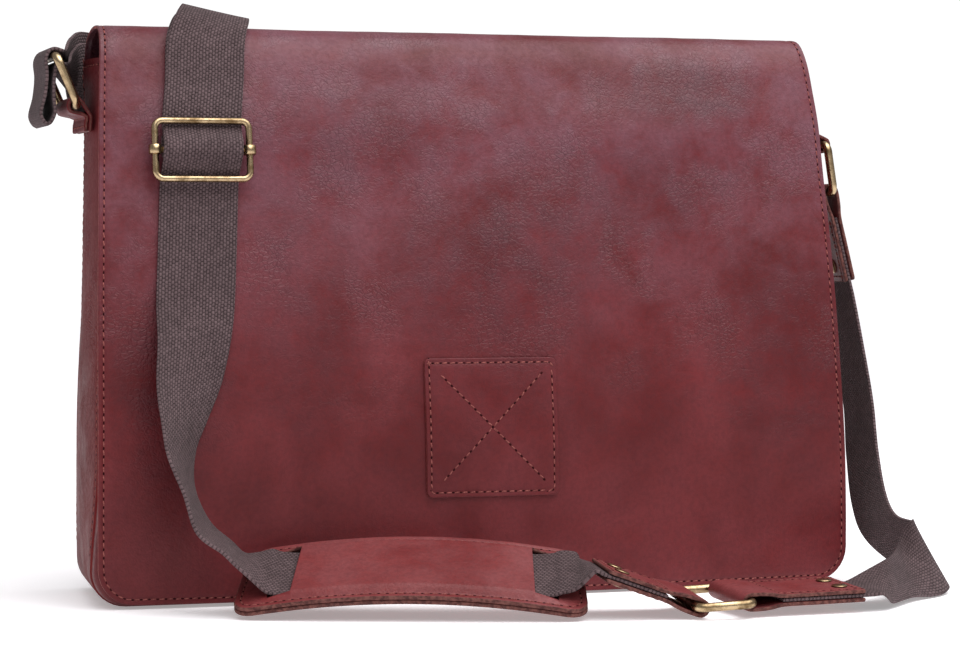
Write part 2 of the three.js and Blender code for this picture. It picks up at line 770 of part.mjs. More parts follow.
// Tabs of the rings on the gusset: sewn layers on the side, then around the ring's bar
function ringTab(bar, sign, sewn, upward) {
  const side = (z, layer) => {
    const half = mix(bodyReading('frontHalf', z), bodyReading('backHalf', z), 0.5) + gussetSwell;
    return vec(sign * (half + 1 + strapLeather / 2 + layer * (strapLeather + 0.4)), bar.y, z);
  };
  const loop = ringWire + wrapGap + strapLeather / 2;
  const foot = side(sewn.near, 0);
  const toBar = Math.atan2(bar.z - foot.z, sign * (bar.x - foot.x));
  const around = (angle) => bar.clone().add(vec(sign * loop * Math.cos(angle), 0, loop * Math.sin(angle)));
  const turn = upward ? -1 : 1;
  const bend = steps(6).map((share) => around(toBar - turn * Math.PI / 2 + turn * share * Math.PI));
  const layer = (order) =>
    [sewn.far, mix(sewn.far, sewn.near, 0.5), sewn.near].map((height) => side(height, order));
  const places = [...layer(0), ...bend, ...layer(1).reverse()];
  return ribbon(places.map((place) => ({ place, across: toDepth })), webWide - 2, strapLeather, 2);
}

// Long webbing: sewn end on the slider's bar, over the top to the left ring, back again and down to the pad
const around = (middle, radius, degrees) => {
  const angle = THREE.MathUtils.degToRad(degrees);
  return [middle[0] + radius * Math.cos(angle), middle[1] + radius * Math.sin(angle)];
};
const barWrap = slider.bar + 0.7 + webThick / 2;
const barTurn = [-90, -135, 180, 135, 90].map((degrees) => {
  const [above, lift] = around([0, slider.barLift], barWrap, degrees);
  return onFlap(above, lift);
});
const ringLoop = loopRows.map(({ x, z }) => ({ place: vec(x, leftFreeBar.y, z), across: vec(0, 1, 0) }));
const onPad = (along, lift, level = 0) => {
  const across = padAcross.clone().applyAxisAngle(padAlong, -THREE.MathUtils.degToRad(level));
  return { place: padAt(along, 0, lift), across };
};
const throughPad = [
  ...padStart.map(({ past, lift, level }) => onPad(past, lift, level)),
  ...slitRows.map(({ past, lift }) => onPad(slits[0] + past, lift)),
  ...underFace.shares.map((share) => onPad(share * padLong, underFace.lift)),
  ...slitRows.map(({ past, lift }) => onPad(slits[1] - past, lift)).reverse(),
  ...padEnd.map(({ past, lift, level }) => onPad(padLong + past, lift, level)),
];
const inFold = (end, runs) =>
  runs.map((run) => ({ place: end.bar.clone().addScaledVector(end.d, run), across: end.w.clone() }));
const faceOver = (list) => list.map(({ place, across }) => ({ place, across: across.clone().negate() }));
const longStations = [
  ...alongFlap(sewnRows), ...barTurn, ...alongFlap(risingRows), ...free(innerRows), ...ringLoop,
  ...free(outerRows), ...alongFlap(frontRows), ...free(toPadRows), ...throughPad,
  ...inFold(connectorLeft, inLeftFold),
];

// Short webbing: from the right connector, a bend on the floor and up to the hanger tab
const shortStations = [
  ...inFold(connectorRight, inRightFold), ...free(shortRows), ...faceOver(inFold(hanger, inHanger)),
];

// Slider
const sliderFace = flapFront(slider.x, slider.z);
const sliderUp = vec(0, sliderFace.normal.z, -sliderFace.normal.y).normalize();
const sliderMiddle = (lift) => sliderFace.place.clone().addScaledVector(sliderFace.normal, lift);
const toRight = vec(1, 0, 0);

function sliderFrame() {
  const middle = sliderMiddle(slider.frameLift);
  const path = rectanglePath(middle, toRight, sliderUp, slider.wide, slider.high, slider.corner, 3);
  return wireLoop(path, slider.wire, 8);
}

function sliderBar() {
  const half = slider.wide / 2 - collar.inner - 0.5;
  let body = toManifold(turned(rod(half, slider.bar), sliderMiddle(slider.barLift), toRight, 10));
  for (const sign of [-1, 1]) {
    const base = sliderMiddle(slider.frameLift).addScaledVector(toRight, sign * slider.wide / 2);
    const end = collar.long / 2;
    const tube = [
      { along: -end, radius: collar.inner },
      { along: -end, radius: collar.outer },
      { along: end, radius: collar.outer },
      { along: end, radius: collar.inner },
    ];
    body = body.add(toManifold(turned(tube, base, sliderUp, 12)));
  }
  return fromManifold(body);
}

// Scene
const leather = new THREE.MeshStandardMaterial({ color: 0x6b3234, roughness: 0.5, metalness: 0 });
const strapSkin = new THREE.MeshStandardMaterial({ color: 0x85464a, roughness: 0.55, metalness: 0 });
const webbing = new THREE.MeshStandardMaterial({ color: 0x5a4b4a, roughness: 0.85, metalness: 0 });
const brass = new THREE.MeshStandardMaterial({ color: 0x8a6f45, roughness: 0.4, metalness: 0.9 });

const bag = new THREE.Group();
const place = (name, geometry, material) => {
  const mesh = new THREE.Mesh(geometry, material);
  mesh.name = name;
  bag.add(mesh);
};

place('front_panel', panelGeometry('frontHalf', frontFace, -1, 8), leather);
place('back_panel', panelGeometry('backHalf', backFace, 1, 4), leather);
place('gusset', gussetGeometry(), leather);
place('flap', flapGeometry(), leather);
place('flap_patch', patchGeometry(), leather);
place('ring_tab_left', ringTab(leftTabBar, -1, leftTab, true), leather);
place('ring_tab_right', ringTab(rightTabBar, 1, rightTab, false), leather);
place('ring_left', ringGeometry(leftTabBar, leftFreeBar, toDepth), brass);
place('ring_right', ringGeometry(rightTabBar, rightFreeBar, toDepth), brass);
place('slider_frame', sliderFrame(), brass);
place('slider_bar', sliderBar(), brass);
const longWebbing = ribbon(longStations, webWide, webThick, 2);
place('strap_webbing_long', drilled(longWebbing, [connectorLeft]), webbing);
place('pad_backing', padGeometry(0, false), strapSkin);
place('pad_face', padGeometry(pad.layer + 0.3, true), strapSkin);
place('connector_left', drilled(connectorLeft.geometry, [connectorLeft]), strapSkin);
place('connector_ring', ringGeometry(floorLeftBar, floorRightBar, floorWidth), brass);
place('connector_right', drilled(connectorRight.geometry, [connectorRight]), strapSkin);
const shortWebbing = ribbon(shortStations, webWide, webThick, 2);
place('strap_webbing_short', drilled(shortWebbing, [connectorRight, hanger]), webbing);
place('hanger_tab', drilled(hanger.geometry, [hanger]), strapSkin);
const riveted = { connector_left: connectorLeft, connector_right: connectorRight, hanger_tab: hanger };
for (const [name, end] of Object.entries(riveted)) {
  end.spots.forEach((spot, order) => {
    place(`rivet_${name}_${order === 0 ? 'front' : 'back'}`, rivetGeometry(end, spot), brass);
  });
}

export default bag;
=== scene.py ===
# Leather messenger bag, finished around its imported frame
# Tables are in millimetres in the frame's own axes, and meshes are made in metres
import math
import bpy
import numpy as np
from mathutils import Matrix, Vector, noise


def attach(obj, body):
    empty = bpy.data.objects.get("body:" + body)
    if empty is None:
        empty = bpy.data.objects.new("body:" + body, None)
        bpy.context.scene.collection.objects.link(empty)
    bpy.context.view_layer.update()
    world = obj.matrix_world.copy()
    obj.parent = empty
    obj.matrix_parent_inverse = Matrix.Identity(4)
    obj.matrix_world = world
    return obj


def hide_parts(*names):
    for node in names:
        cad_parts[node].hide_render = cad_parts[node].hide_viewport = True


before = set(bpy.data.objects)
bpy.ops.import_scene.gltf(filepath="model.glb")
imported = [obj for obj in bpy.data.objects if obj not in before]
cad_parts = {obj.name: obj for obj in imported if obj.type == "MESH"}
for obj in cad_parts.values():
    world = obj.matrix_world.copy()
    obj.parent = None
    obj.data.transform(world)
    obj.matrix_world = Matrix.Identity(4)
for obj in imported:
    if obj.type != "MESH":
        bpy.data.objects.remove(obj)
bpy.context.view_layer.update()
mm = 0.001
print("frame loaded:", len(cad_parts), "nodes")


# Camera at the photo's angle
photo = {
    "wide": 960, "focal": 2917.1, "sensor": 36.0, "azimuth": -17.0, "pitch": 1.6,
    "eye": (-438.8, -1476.1, 182.1),
}


def makeCamera():
    data = bpy.data.cameras.new("camera")
    data.sensor_width = photo["sensor"]
    data.lens = photo["focal"] / photo["wide"] * photo["sensor"]
    data.clip_start = 0.05
    camera = bpy.data.objects.new("camera", data)
    camera.location = Vector(photo["eye"]) * mm
    camera.rotation_euler = (math.radians(90 - photo["pitch"]), 0, math.radians(photo["azimuth"]))
    bpy.context.scene.collection.objects.link(camera)
    bpy.context.scene.camera = camera


makeCamera()


# Small maths
def table(names, rows):  # a table's columns by name
    return dict(zip(names.split(), np.array(rows, float).T))


def smoothStep(low, high, value):
    share = np.clip((value - low) / (high - low), 0, 1)
    return share * share * (3 - 2 * share)


def unit(vectors):
    vectors = np.asarray(vectors, float)
    return vectors / np.linalg.norm(vectors, axis=-1, keepdims=True)


def vec(*parts):  # points from their coordinates
    return np.stack(np.broadcast_arrays(*[np.asarray(part, float) for part in parts]), -1)


def mix(a, b, share):
    return a + (b - a) * share


def hump(value, middle, wide):  # smooth bump of height 1
    return np.exp(-((value - middle) / wide) ** 2)


def roundCut(radius, toEnd):  # how far a rounded corner cuts in at a distance from the end
    inside = np.clip(radius - toEnd, 0, radius)
    return radius - np.sqrt(radius ** 2 - inside ** 2)


def reading(keys, values):  # smooth reading of a table's column
    order = np.arange(len(keys))
    before, after = np.maximum(order - 1, 0), np.minimum(order + 1, len(keys) - 1)
    slopes = (values[after] - values[before]) / (keys[after] - keys[before])

    def at(key):
        i = np.clip(np.searchsorted(keys, key) - 1, 0, len(keys) - 2)
        span = keys[i + 1] - keys[i]
        t = np.clip((key - keys[i]) / span, 0, 1)
        a, b = slopes[i] * span, slopes[i + 1] * span
        rise = values[i + 1] - values[i]
        return values[i] + t * (a + t * (3 * rise - 2 * a - b + t * (a + b - 2 * rise)))
    return at


def catmull(points, t, slope=False):  # curve through stations, or its direction
    points = np.asarray(points, float)
    padded = np.concatenate([[2 * points[0] - points[1]], points, [2 * points[-1] - points[-2]]])
    i = np.clip(t.astype(int), 0, len(points) - 2)
    w = (t - i)[:, None]
    p0, p1, p2, p3 = padded[i], padded[i + 1], padded[i + 2], padded[i + 3]
    a, b, rise = (p2 - p0) / 2, (p3 - p1) / 2, p2 - p1
    if slope:
        return a + w * (2 * (3 * rise - 2 * a - b) + 3 * w * (a + b - 2 * rise))
    return p1 + w * (a + w * (3 * rise - 2 * a - b + w * (a + b - 2 * rise)))


def ripple(points, size, seed):  # soft noise from -1 to 1 with features of about a size
    flat = np.reshape(points, (-1, 3)) / size + seed
    values = [noise.noise(Vector(point)) for point in flat]
    return np.reshape(values, np.shape(points)[:-1])


# Shader and geometry trees
class Flow:  # one output socket, with arithmetic on values
    def __init__(self, tree, socket):
        self.tree, self.socket = tree, socket

    def __add__(self, other):
        return self.tree.maths("ADD", self, other)

    def __sub__(self, other):
        return self.tree.maths("SUBTRACT", self, other)

    def __rsub__(self, other):
        return self.tree.maths("SUBTRACT", other, self)

    def __mul__(self, other):
        return self.tree.maths("MULTIPLY", self, other)

    def __truediv__(self, other):
        return self.tree.maths("DIVIDE", self, other)

    __radd__ = __add__
    __rmul__ = __mul__


class Tree:
    def __init__(self, nodeTree):
        self.nodes, self.links = nodeTree.nodes, nodeTree.links

    def add(self, kind, settings=None, inputs=None, output=0):
        node = self.nodes.new(kind)
        for key, value in (settings or {}).items():
            setattr(node, key, value)
        for key, value in (inputs or {}).items():
            if isinstance(value, Flow):
                self.links.new(value.socket, node.inputs[key])
            else:
                node.inputs[key].default_value = value
        return Flow(self, node.outputs[output]) if len(node.outputs) else None

    def maths(self, operation, first, second=0.0):
        return self.add("ShaderNodeMath", {"operation": operation}, {0: first, 1: second})

    def vectors(self, operation, first, inputs):
        return self.add("ShaderNodeVectorMath", {"operation": operation}, {0: first, **inputs})

    def blend(self, share, first, second, way="MIX"):
        settings = {"data_type": "RGBA", "blend_type": way}
        return self.add("ShaderNodeMix", settings, {0: share, 6: first, 7: second}, 2)

    def between(self, value, low, high, start=0.0, end=1.0):
        inputs = {0: value, 1: low, 2: high, 3: start, 4: end}
        return self.add("ShaderNodeMapRange", {"interpolation_type": "SMOOTHSTEP"}, inputs)

    def where(self):
        return self.add("ShaderNodeTexCoord", output=3)

    def grain(self, where, scale, detail=4.0, rough=0.55, warp=0.0, output=0):
        inputs = {"Vector": where, "Scale": scale, "Detail": detail, "Roughness": rough, "Distortion": warp}
        return self.add("ShaderNodeTexNoise", {}, inputs, output)

    def cells(self, where, scale, feature="DISTANCE_TO_EDGE"):
        return self.add("ShaderNodeTexVoronoi", {"feature": feature}, {"Vector": where, "Scale": scale})

    def raised(self, height, strength, distance, normal=None):
        inputs = {"Height": height, "Strength": strength, "Distance": distance}
        if normal is not None:
            inputs["Normal"] = normal
        return self.add("ShaderNodeBump", {}, inputs)

    def attribute(self, name):
        return self.add("GeometryNodeInputNamedAttribute", {"data_type": "FLOAT_VECTOR"}, {"Name": name})

    def parts(self, vector):
        split = self.add("ShaderNodeSeparateXYZ", {}, {0: vector})
        return [Flow(self, socket) for socket in split.socket.node.outputs]

    def shade(self, inputs):  # the surface, with its varying and fixed sockets
        shader = self.add("ShaderNodeBsdfPrincipled", {}, inputs)
        self.add("ShaderNodeOutputMaterial", {}, {0: shader})


def newMaterial(name):
    material = bpy.data.materials.new(name)
    material.use_nodes = True
    material.node_tree.nodes.clear()
    return material, Tree(material.node_tree)


def linear(red, green, blue):  # screen colour to the shader's own
    def one(value):
        value /= 255
        return value / 12.92 if value <= 0.04045 else ((value + 0.055) / 1.055) ** 2.4
    return (one(red), one(green), one(blue), 1.0)


# Leather: waxed red brown with plum mottling, darker stains and a fine cracked grain; on the bag the plum
# grows towards the top as a painted sheen
# Bag leather: the plum share that rises with height is a painted sheen of the overhead light on the upper
# flap
bagLook = {
    "deep": linear(84, 22, 24), "warm": linear(106, 36, 38), "plum": linear(107, 65, 75),
    "dark": linear(58, 20, 27), "plumAndSheen": (0.08, 0.25, 0.12, 1.0), "worn": (0.06, 0.17, 0.15, 1.0),
    "clouds": 15.0, "patches": 52.0, "wear": 26.0, "wrinkles": 120.0, "crack": 410.0, "grain": 430.0,
    "pores": 950.0, "stray": 90.0, "strayBy": 8 * mm, "rough": (0.34, 0.56), "crackle": 0.2, "relief": 0.5,
    "gloss": 0.35, "coatRough": 0.28, "shine": 0.2,
}
# Strap leather: the plum is mixed in evenly, with no painted sheen
strapLook = dict(
    bagLook, deep=linear(107, 36, 37), warm=linear(131, 55, 54), plum=linear(122, 68, 71),
    plumAndSheen=(0, 1, 0.6, 0.6), crackle=0.12, relief=0.12, gloss=0.08,
)
# Side leather: the bag leather again for the gusset and ring tabs, with its tones set lighter to paint the
# sheen the sides show, and with less shine and no coat
litSideLook = dict(
    bagLook, deep=linear(92, 26, 27), warm=linear(112, 38, 38), plum=linear(108, 52, 56),
    gloss=0.0, shine=0.03,
)
# Stains of the front: middle, half width, half height and strength
stains = table("x z wide high strong", [
    (118, 262, 46, 18, 0.6),
    (8, 165, 60, 40, 0.5),
    (-95, 150, 30, 70, 0.35),
    (-165, 105, 34, 60, 0.45),
    (165, 120, 40, 60, 0.4),
    (70, 205, 70, 30, 0.35),
    (-60, 235, 60, 26, 0.25),
])


def stainMask(tree, where):
    x, y, z = tree.parts(where)
    total = 0.0
    for middleX, middleZ, wide, high, strong in zip(*stains.values()):
        across = (x - middleX * mm) / (wide * mm)
        up = (z - middleZ * mm) / (high * mm)
        total = total + tree.between(across * across + up * up, 0.0, 1.6, strong, 0.0)
    return total


def makeLeather(name, look, stained):
    material, tree = newMaterial(name)
    where = tree.where()
    cloud = tree.grain(where, look["clouds"], 5.0, 0.6, 0.4)
    patchy = tree.grain(where, look["patches"], 6.0, 0.65, 0.3)
    fine = tree.grain(where, look["grain"], 4.0, 0.6)
    height = tree.parts(where)[2]
    # Painted sheen: more plum towards the top, for the overhead light on the upper flap; the plum mottling
    # itself is the leather's own
    plumAndSheen = tree.between(height, *look["plumAndSheen"])
    colour = tree.blend(tree.between(cloud, 0.3, 0.72), look["deep"], look["warm"])
    colour = tree.blend(tree.between(patchy * 0.5 + cloud * 0.5, 0.3, 0.66) * plumAndSheen, colour, look["plum"])
    stray = tree.grain(where, look["stray"], 3.0, output=1)
    bent = tree.vectors("ADD", where, {1: tree.vectors("SCALE", stray, {"Scale": look["strayBy"]})})
    lines = tree.between(tree.cells(bent, look["crack"]), 0.0, 0.2, 1.0, 0.0)
    wear = tree.grain(where, look["wear"], 4.0, 0.65)
    marks = tree.between(wear, 0.45, 0.68) * tree.between(height, *look["worn"])
    if stained:
        stain = stainMask(tree, where) * tree.between(patchy, 0.3, 0.66, 0.25, 1.0)
        colour = tree.blend(stain * 0.75, colour, look["dark"])
        marks = marks * 0.75 + stain * 0.5
    cracked = lines * marks
    colour = tree.blend(cracked * look["crackle"], colour, look["dark"])
    colour = tree.blend(tree.between(fine, 0.35, 0.7, 0.0, 0.25), colour, look["dark"])
    rough = tree.between(patchy * 0.6 + fine * 0.4, 0.3, 0.72, *look["rough"])
    pores = tree.cells(where, look["pores"], "F1")
    wrinkled = tree.grain(where, look["wrinkles"], 5.0, 0.65) * marks
    normal = tree.raised(wrinkled - cracked, look["relief"], 0.8 * mm)
    normal = tree.raised(patchy, 0.35, 1.5 * mm, normal)
    normal = tree.raised(pores * 0.7 + fine, 0.25, 0.4 * mm, normal)
    coat = marks * plumAndSheen * look["gloss"]
    tree.shade({"Base Color": colour, "Roughness": rough, "Normal": normal, "Coat Weight": coat,
                "Coat Roughness": look["coatRough"], "Specular IOR Level": look["shine"]})
    return material


# Webbing: coarse grey brown plain weave that follows the strap
webLook = {
    "thread": linear(105, 87, 89), "shade": linear(47, 36, 37), "warp": 1.6 * mm, "weft": 2.1 * mm,
    "wander": 260.0, "fuzz": 1500.0, "broad": 40.0, "rough": 0.88, "sheen": 0.04, "shine": 0.15,
}


def makeWebbing():
    material, tree = newMaterial("grey_webbing")
    u, v, w = tree.parts(tree.add("ShaderNodeUVMap", {"uv_map": "surface"}))
    where = tree.where()
    wander = (tree.grain(where, webLook["wander"], 2.0) - 0.5) * 0.6
    across = u / webLook["warp"] + wander
    column = tree.maths("FLOOR", across)
    along = v / webLook["weft"] + wander + column * 0.5
    row = tree.maths("FLOOR", along)
    inColumn = (across - column - 0.5) * 2.0
    inRow = (along - row - 0.5) * 2.0
    knot = (1.0 - inColumn * inColumn) * (1.0 - inRow * inRow)
    cell = tree.add("ShaderNodeCombineXYZ", {}, {0: column, 1: row})
    tone = tree.add("ShaderNodeTexWhiteNoise", {"noise_dimensions": "2D"}, {"Vector": cell})
    fuzz = tree.grain(where, webLook["fuzz"], 2.0)
    broad = tree.grain(where, webLook["broad"], 3.0)
    share = tree.between(knot, 0.02, 0.8) * 0.66 + tone * 0.3 + (fuzz - 0.5) * 0.45
    colour = tree.blend(share, webLook["shade"], webLook["thread"])
    colour = tree.blend(tree.between(broad, 0.35, 0.7, 0.0, 0.25), colour, webLook["shade"])
    normal = tree.raised(knot + fuzz * 0.3, 0.8, 0.6 * mm)
    tree.shade({"Base Color": colour, "Roughness": webLook["rough"], "Normal": normal,
                "Sheen Weight": webLook["sheen"], "Specular IOR Level": webLook["shine"]})
    return material


# Old brass: warm metal under a brown patina, bright where it is rubbed
brassLook = {
    "bright": linear(184, 161, 126), "aged": linear(106, 85, 58), "patina": 150.0, "speck": 1600.0,
    "rough": (0.38, 0.2),
}


def makeBrass():
    material, tree = newMaterial("old_brass")
    where = tree.where()
    patina = tree.grain(where, brassLook["patina"], 5.0, 0.6)
    speck = tree.grain(where, brassLook["speck"], 3.0, 0.6)
    worn = tree.between(patina * 0.85 + speck * 0.15, 0.32, 0.6)
    colour = tree.blend(worn, brassLook["aged"], brassLook["bright"])
    rough = tree.between(patina, 0.3, 0.7, *brassLook["rough"])
    normal = tree.raised(speck, 0.12, 0.3 * mm)
    tree.shade({"Base Color": colour, "Roughness": rough, "Metallic": 1.0, "Normal": normal})
    return material


def makePlain(name, first, second, scale, rough):  # two mingled tones with a little relief
    material, tree = newMaterial(name)
    speckle = tree.grain(tree.where(), scale, 4.0, 0.6)
    colour = tree.blend(tree.between(speckle, 0.35, 0.65), first, second)
    normal = tree.raised(speckle, 0.4, 0.3 * mm)
    tree.shade({"Base Color": colour, "Roughness": rough, "Normal": normal, "Specular IOR Level": 0.1})
    return material


bagLeather = makeLeather("bag_leather", bagLook, True)
strapSkin = makeLeather("strap_leather", strapLook, False)
sideLeather = makeLeather("side_leather", litSideLook, False)
cutEdge = makePlain("cut_edge", linear(158, 88, 82), linear(116, 56, 54), 600.0, 0.6)
layerEdge = makePlain("layer_edge", linear(112, 72, 66), linear(70, 42, 40), 500.0, 0.75)
thread = makePlain("thread", linear(146, 86, 80), linear(110, 58, 56), 1400.0, 0.75)
# Painted shade: the needle holes are dark pits whose colour stands in for the shade inside the holes
holeShade = makePlain("needle_hole_shade", linear(52, 12, 14), linear(36, 8, 10), 900.0, 0.9)
webbing = makeWebbing()
oldBrass = makeBrass()
print("materials made")


# Meshes
def makeObject(name, points, faces, materials, slots=None, uv=None):
    mesh = bpy.data.meshes.new(name)
    faces = faces.tolist() if isinstance(faces, np.ndarray) else faces
    mesh.from_pydata((np.asarray(points, float) * mm).tolist(), [], faces)
    for material in materials:
        mesh.materials.append(material)
    mesh.polygons.foreach_set("use_smooth", np.ones(len(faces), bool))
    if slots is not None:
        mesh.polygons.foreach_set("material_index", np.asarray(slots, np.int32))
    if uv is not None:
        layer = mesh.uv_layers.new(name="surface")
        corners = np.zeros(len(mesh.loops), np.int32)
        mesh.loops.foreach_get("vertex_index", corners)
        layer.data.foreach_set("uv", (np.asarray(uv)[corners] * mm).astype(np.float32).ravel())
    mesh.update()
    piece = bpy.data.objects.new(name, mesh)
    bpy.context.scene.collection.objects.link(piece)
    return piece


def makeShell(name, outer, inner, materials, keep=None, uv=None, cut=None):  # closed wall between two grids
    rows, columns = outer.shape[:2]
    count = rows * columns
    ids = np.arange(count).reshape(rows, columns)
    kept = np.ones((rows - 1, columns - 1), bool) if keep is None else keep
    a, b, c, d = ids[:-1, :-1], ids[:-1, 1:], ids[1:, 1:], ids[1:, :-1]
    skin = np.stack([a, b, c, d], -1)[kept]
    beyond = np.pad(kept, 1)
    sides = [
        (a, b, beyond[:-2, 1:-1]), (b, c, beyond[1:-1, 2:]),
        (c, d, beyond[2:, 1:-1]), (d, a, beyond[1:-1, :-2]),
    ]
    rims = []
    for start, end, more in sides:
        bare = kept & ~more
        s, e = start[bare], end[bare]
        rims.append(np.stack([e, s, s + count, e + count], -1))
    faces = np.concatenate([skin, skin[:, ::-1] + count, *rims])
    slots = np.zeros(len(faces), np.int32)
    slots[2 * len(skin):] = len(materials) - 1
    if cut is not None:
        slots[:2 * len(skin)] = np.tile(cut[kept], 2) * (len(materials) - 1)
    points = np.concatenate([outer.reshape(-1, 3), inner.reshape(-1, 3)])
    flat = None if uv is None else np.concatenate([np.reshape(uv, (-1, 2))] * 2)
    used, faces = np.unique(faces, return_inverse=True)
    faces = faces.reshape(-1, 4)
    points = points[used]
    first, second, third, fourth = (points[faces[:, i]] for i in range(4))
    if np.sum(first * (np.cross(second, third) + np.cross(third, fourth))) < 0:
        faces = faces[:, ::-1]
    return makeObject(name, points, faces, materials, slots, None if flat is None else flat[used])


edgeSteps = np.array([0, 0.2, 0.5, 0.95, 1.4, 1.9, 2.4, 2.9, 3.5, 4.3, 5.6, 7.6, 10.5])


def fineEnds(long, spacing):  # places from 0 to a length, close together near both ends
    count = max(2, int((long - 2 * edgeSteps[-1]) / spacing))
    middle = np.linspace(edgeSteps[-1], long - edgeSteps[-1], count + 1)
    return np.concatenate([edgeSteps[:-1], middle, (long - edgeSteps[:-1])[::-1]])


def sheetGrid(runs, columns, half, startCorner=0.0, endCorner=0.0):  # places on a sheet with rounded corners
    half = np.broadcast_to(half, runs.shape)
    cut = roundCut(startCorner, runs - runs[0]) + roundCut(endCorner, runs[-1] - runs)
    across = np.outer((half - cut) / np.max(columns), columns)
    run = np.repeat(runs[:, None], len(columns), 1)
    toSide, toStart, toEnd = half[:, None] - np.abs(across), run - runs[0], runs[-1] - run
    edge = np.minimum(toSide, np.minimum(toStart, toEnd))
    for corner, toTip in ((startCorner, toStart), (endCorner, toEnd)):
        rounded = (corner > toSide) & (corner > toTip)
        edge = np.where(rounded, corner - np.hypot(corner - toSide, corner - toTip), edge)
    return run, across, np.maximum(edge, 0)


def makeSheet(name, grid, skin, thick, rounding, materials, keep=None, bare=0.0):  # wall under a skin
    run, across, edge = grid
    place, normal = skin(run, across, edge)
    soft = roundCut(rounding, edge)[..., None]
    outer = place - normal * soft
    inner = place - normal * (thick - soft)
    widest = np.max([edge[:-1, :-1], edge[:-1, 1:], edge[1:, 1:], edge[1:, :-1]], 0)
    return makeShell(name, outer, inner, materials, keep, np.stack([across, run], -1), widest < bare)


def settle(piece, nodes):
    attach(piece, "root")
    if nodes:
        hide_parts(*nodes)
    return piece


# Stitches and rivets: one shape on every point of a path
stitch = {
    "pitch": 4.15, "long": 2.6, "wide": 0.8, "high": 0.6, "lift": 0.08, "lean": 7.0, "uneven": 4.0,
    "hole": (1.584, 1.224, 0.576), "blunt": 0.6, "sides": 8, "seed": 11,
}


def turned(rows, sides):  # points and faces of a solid turned about X, from rows of place and radius
    turns = np.linspace(0, 2 * math.pi, sides, endpoint=False)
    rims = np.array([row for row in rows if row[1] > 0])
    points = []
    for along, radius in rims:
        points += [(along, radius * math.cos(turn), radius * math.sin(turn)) for turn in turns]
    points += [(rows[0][0], 0, 0), (rows[-1][0], 0, 0)]
    faces = []
    for rim in range(len(rims) - 1):
        for side in range(sides):
            a, b = rim * sides + side, rim * sides + (side + 1) % sides
            faces.append((a, b, b + sides, a + sides))
    last = (len(rims) - 1) * sides
    for side in range(sides):
        beside = (side + 1) % sides
        faces.append((len(points) - 2, beside, side))
        faces.append((len(points) - 1, last + side, last + beside))
    return np.array(points), faces


def bead(name, long, wide, high, rings, offset):
    angles = np.linspace(0, math.pi, rings)
    blunt = stitch["blunt"]
    rows = [(-math.cos(angle) * long / 2, math.sin(angle) ** blunt / 2) for angle in angles[:-1]]
    points, faces = turned(rows + [(long / 2, 0.0)], stitch["sides"])
    return makeObject(name, points * (1, wide, high) + offset, faces, [])


def pathMesh(name, paths):  # open lines with the direction that each point faces
    points, edges, facing = [], [], []
    for places, normals in paths:
        start = len(points)
        points.extend(places * mm)
        facing.extend(np.broadcast_to(normals, places.shape))
        edges.extend((start + i, start + i + 1) for i in range(len(places) - 1))
    mesh = bpy.data.meshes.new(name)
    mesh.from_pydata([tuple(point) for point in points], edges, [])
    layer = mesh.attributes.new("facing", "FLOAT_VECTOR", "POINT")
    layer.data.foreach_set("vector", np.asarray(facing, np.float32).ravel())
    piece = bpy.data.objects.new(name, mesh)
    bpy.context.scene.collection.objects.link(piece)
    return piece


def newGroup(name, inputs):  # geometry tree with named inputs, as flows and as socket identifiers
    group = bpy.data.node_groups.new(name, "GeometryNodeTree")
    group.interface.new_socket("Geometry", in_out="INPUT", socket_type="NodeSocketGeometry")
    sockets = {}
    for label, kind in inputs.items():
        sockets[label] = group.interface.new_socket(label, in_out="INPUT", socket_type=kind).identifier
    group.interface.new_socket("Geometry", in_out="OUTPUT", socket_type="NodeSocketGeometry")
    tree = Tree(group)
    entry = tree.add("NodeGroupInput").socket.node
    given = {socket.name: Flow(tree, socket) for socket in entry.outputs if socket.name}
    return group, sockets, tree, given


def placed(tree, points, shape, material, rotation):  # real copies of a shape on points
    info = tree.add("GeometryNodeObjectInfo", {}, {"Object": shape})
    info = Flow(tree, info.socket.node.outputs["Geometry"])
    inputs = {"Points": points, "Instance": info, "Rotation": rotation}
    rows = tree.add("GeometryNodeInstanceOnPoints", {}, inputs)
    real = tree.add("GeometryNodeRealizeInstances", {}, {0: rows})
    return tree.add("GeometryNodeSetMaterial", {}, {0: real, "Material": material})


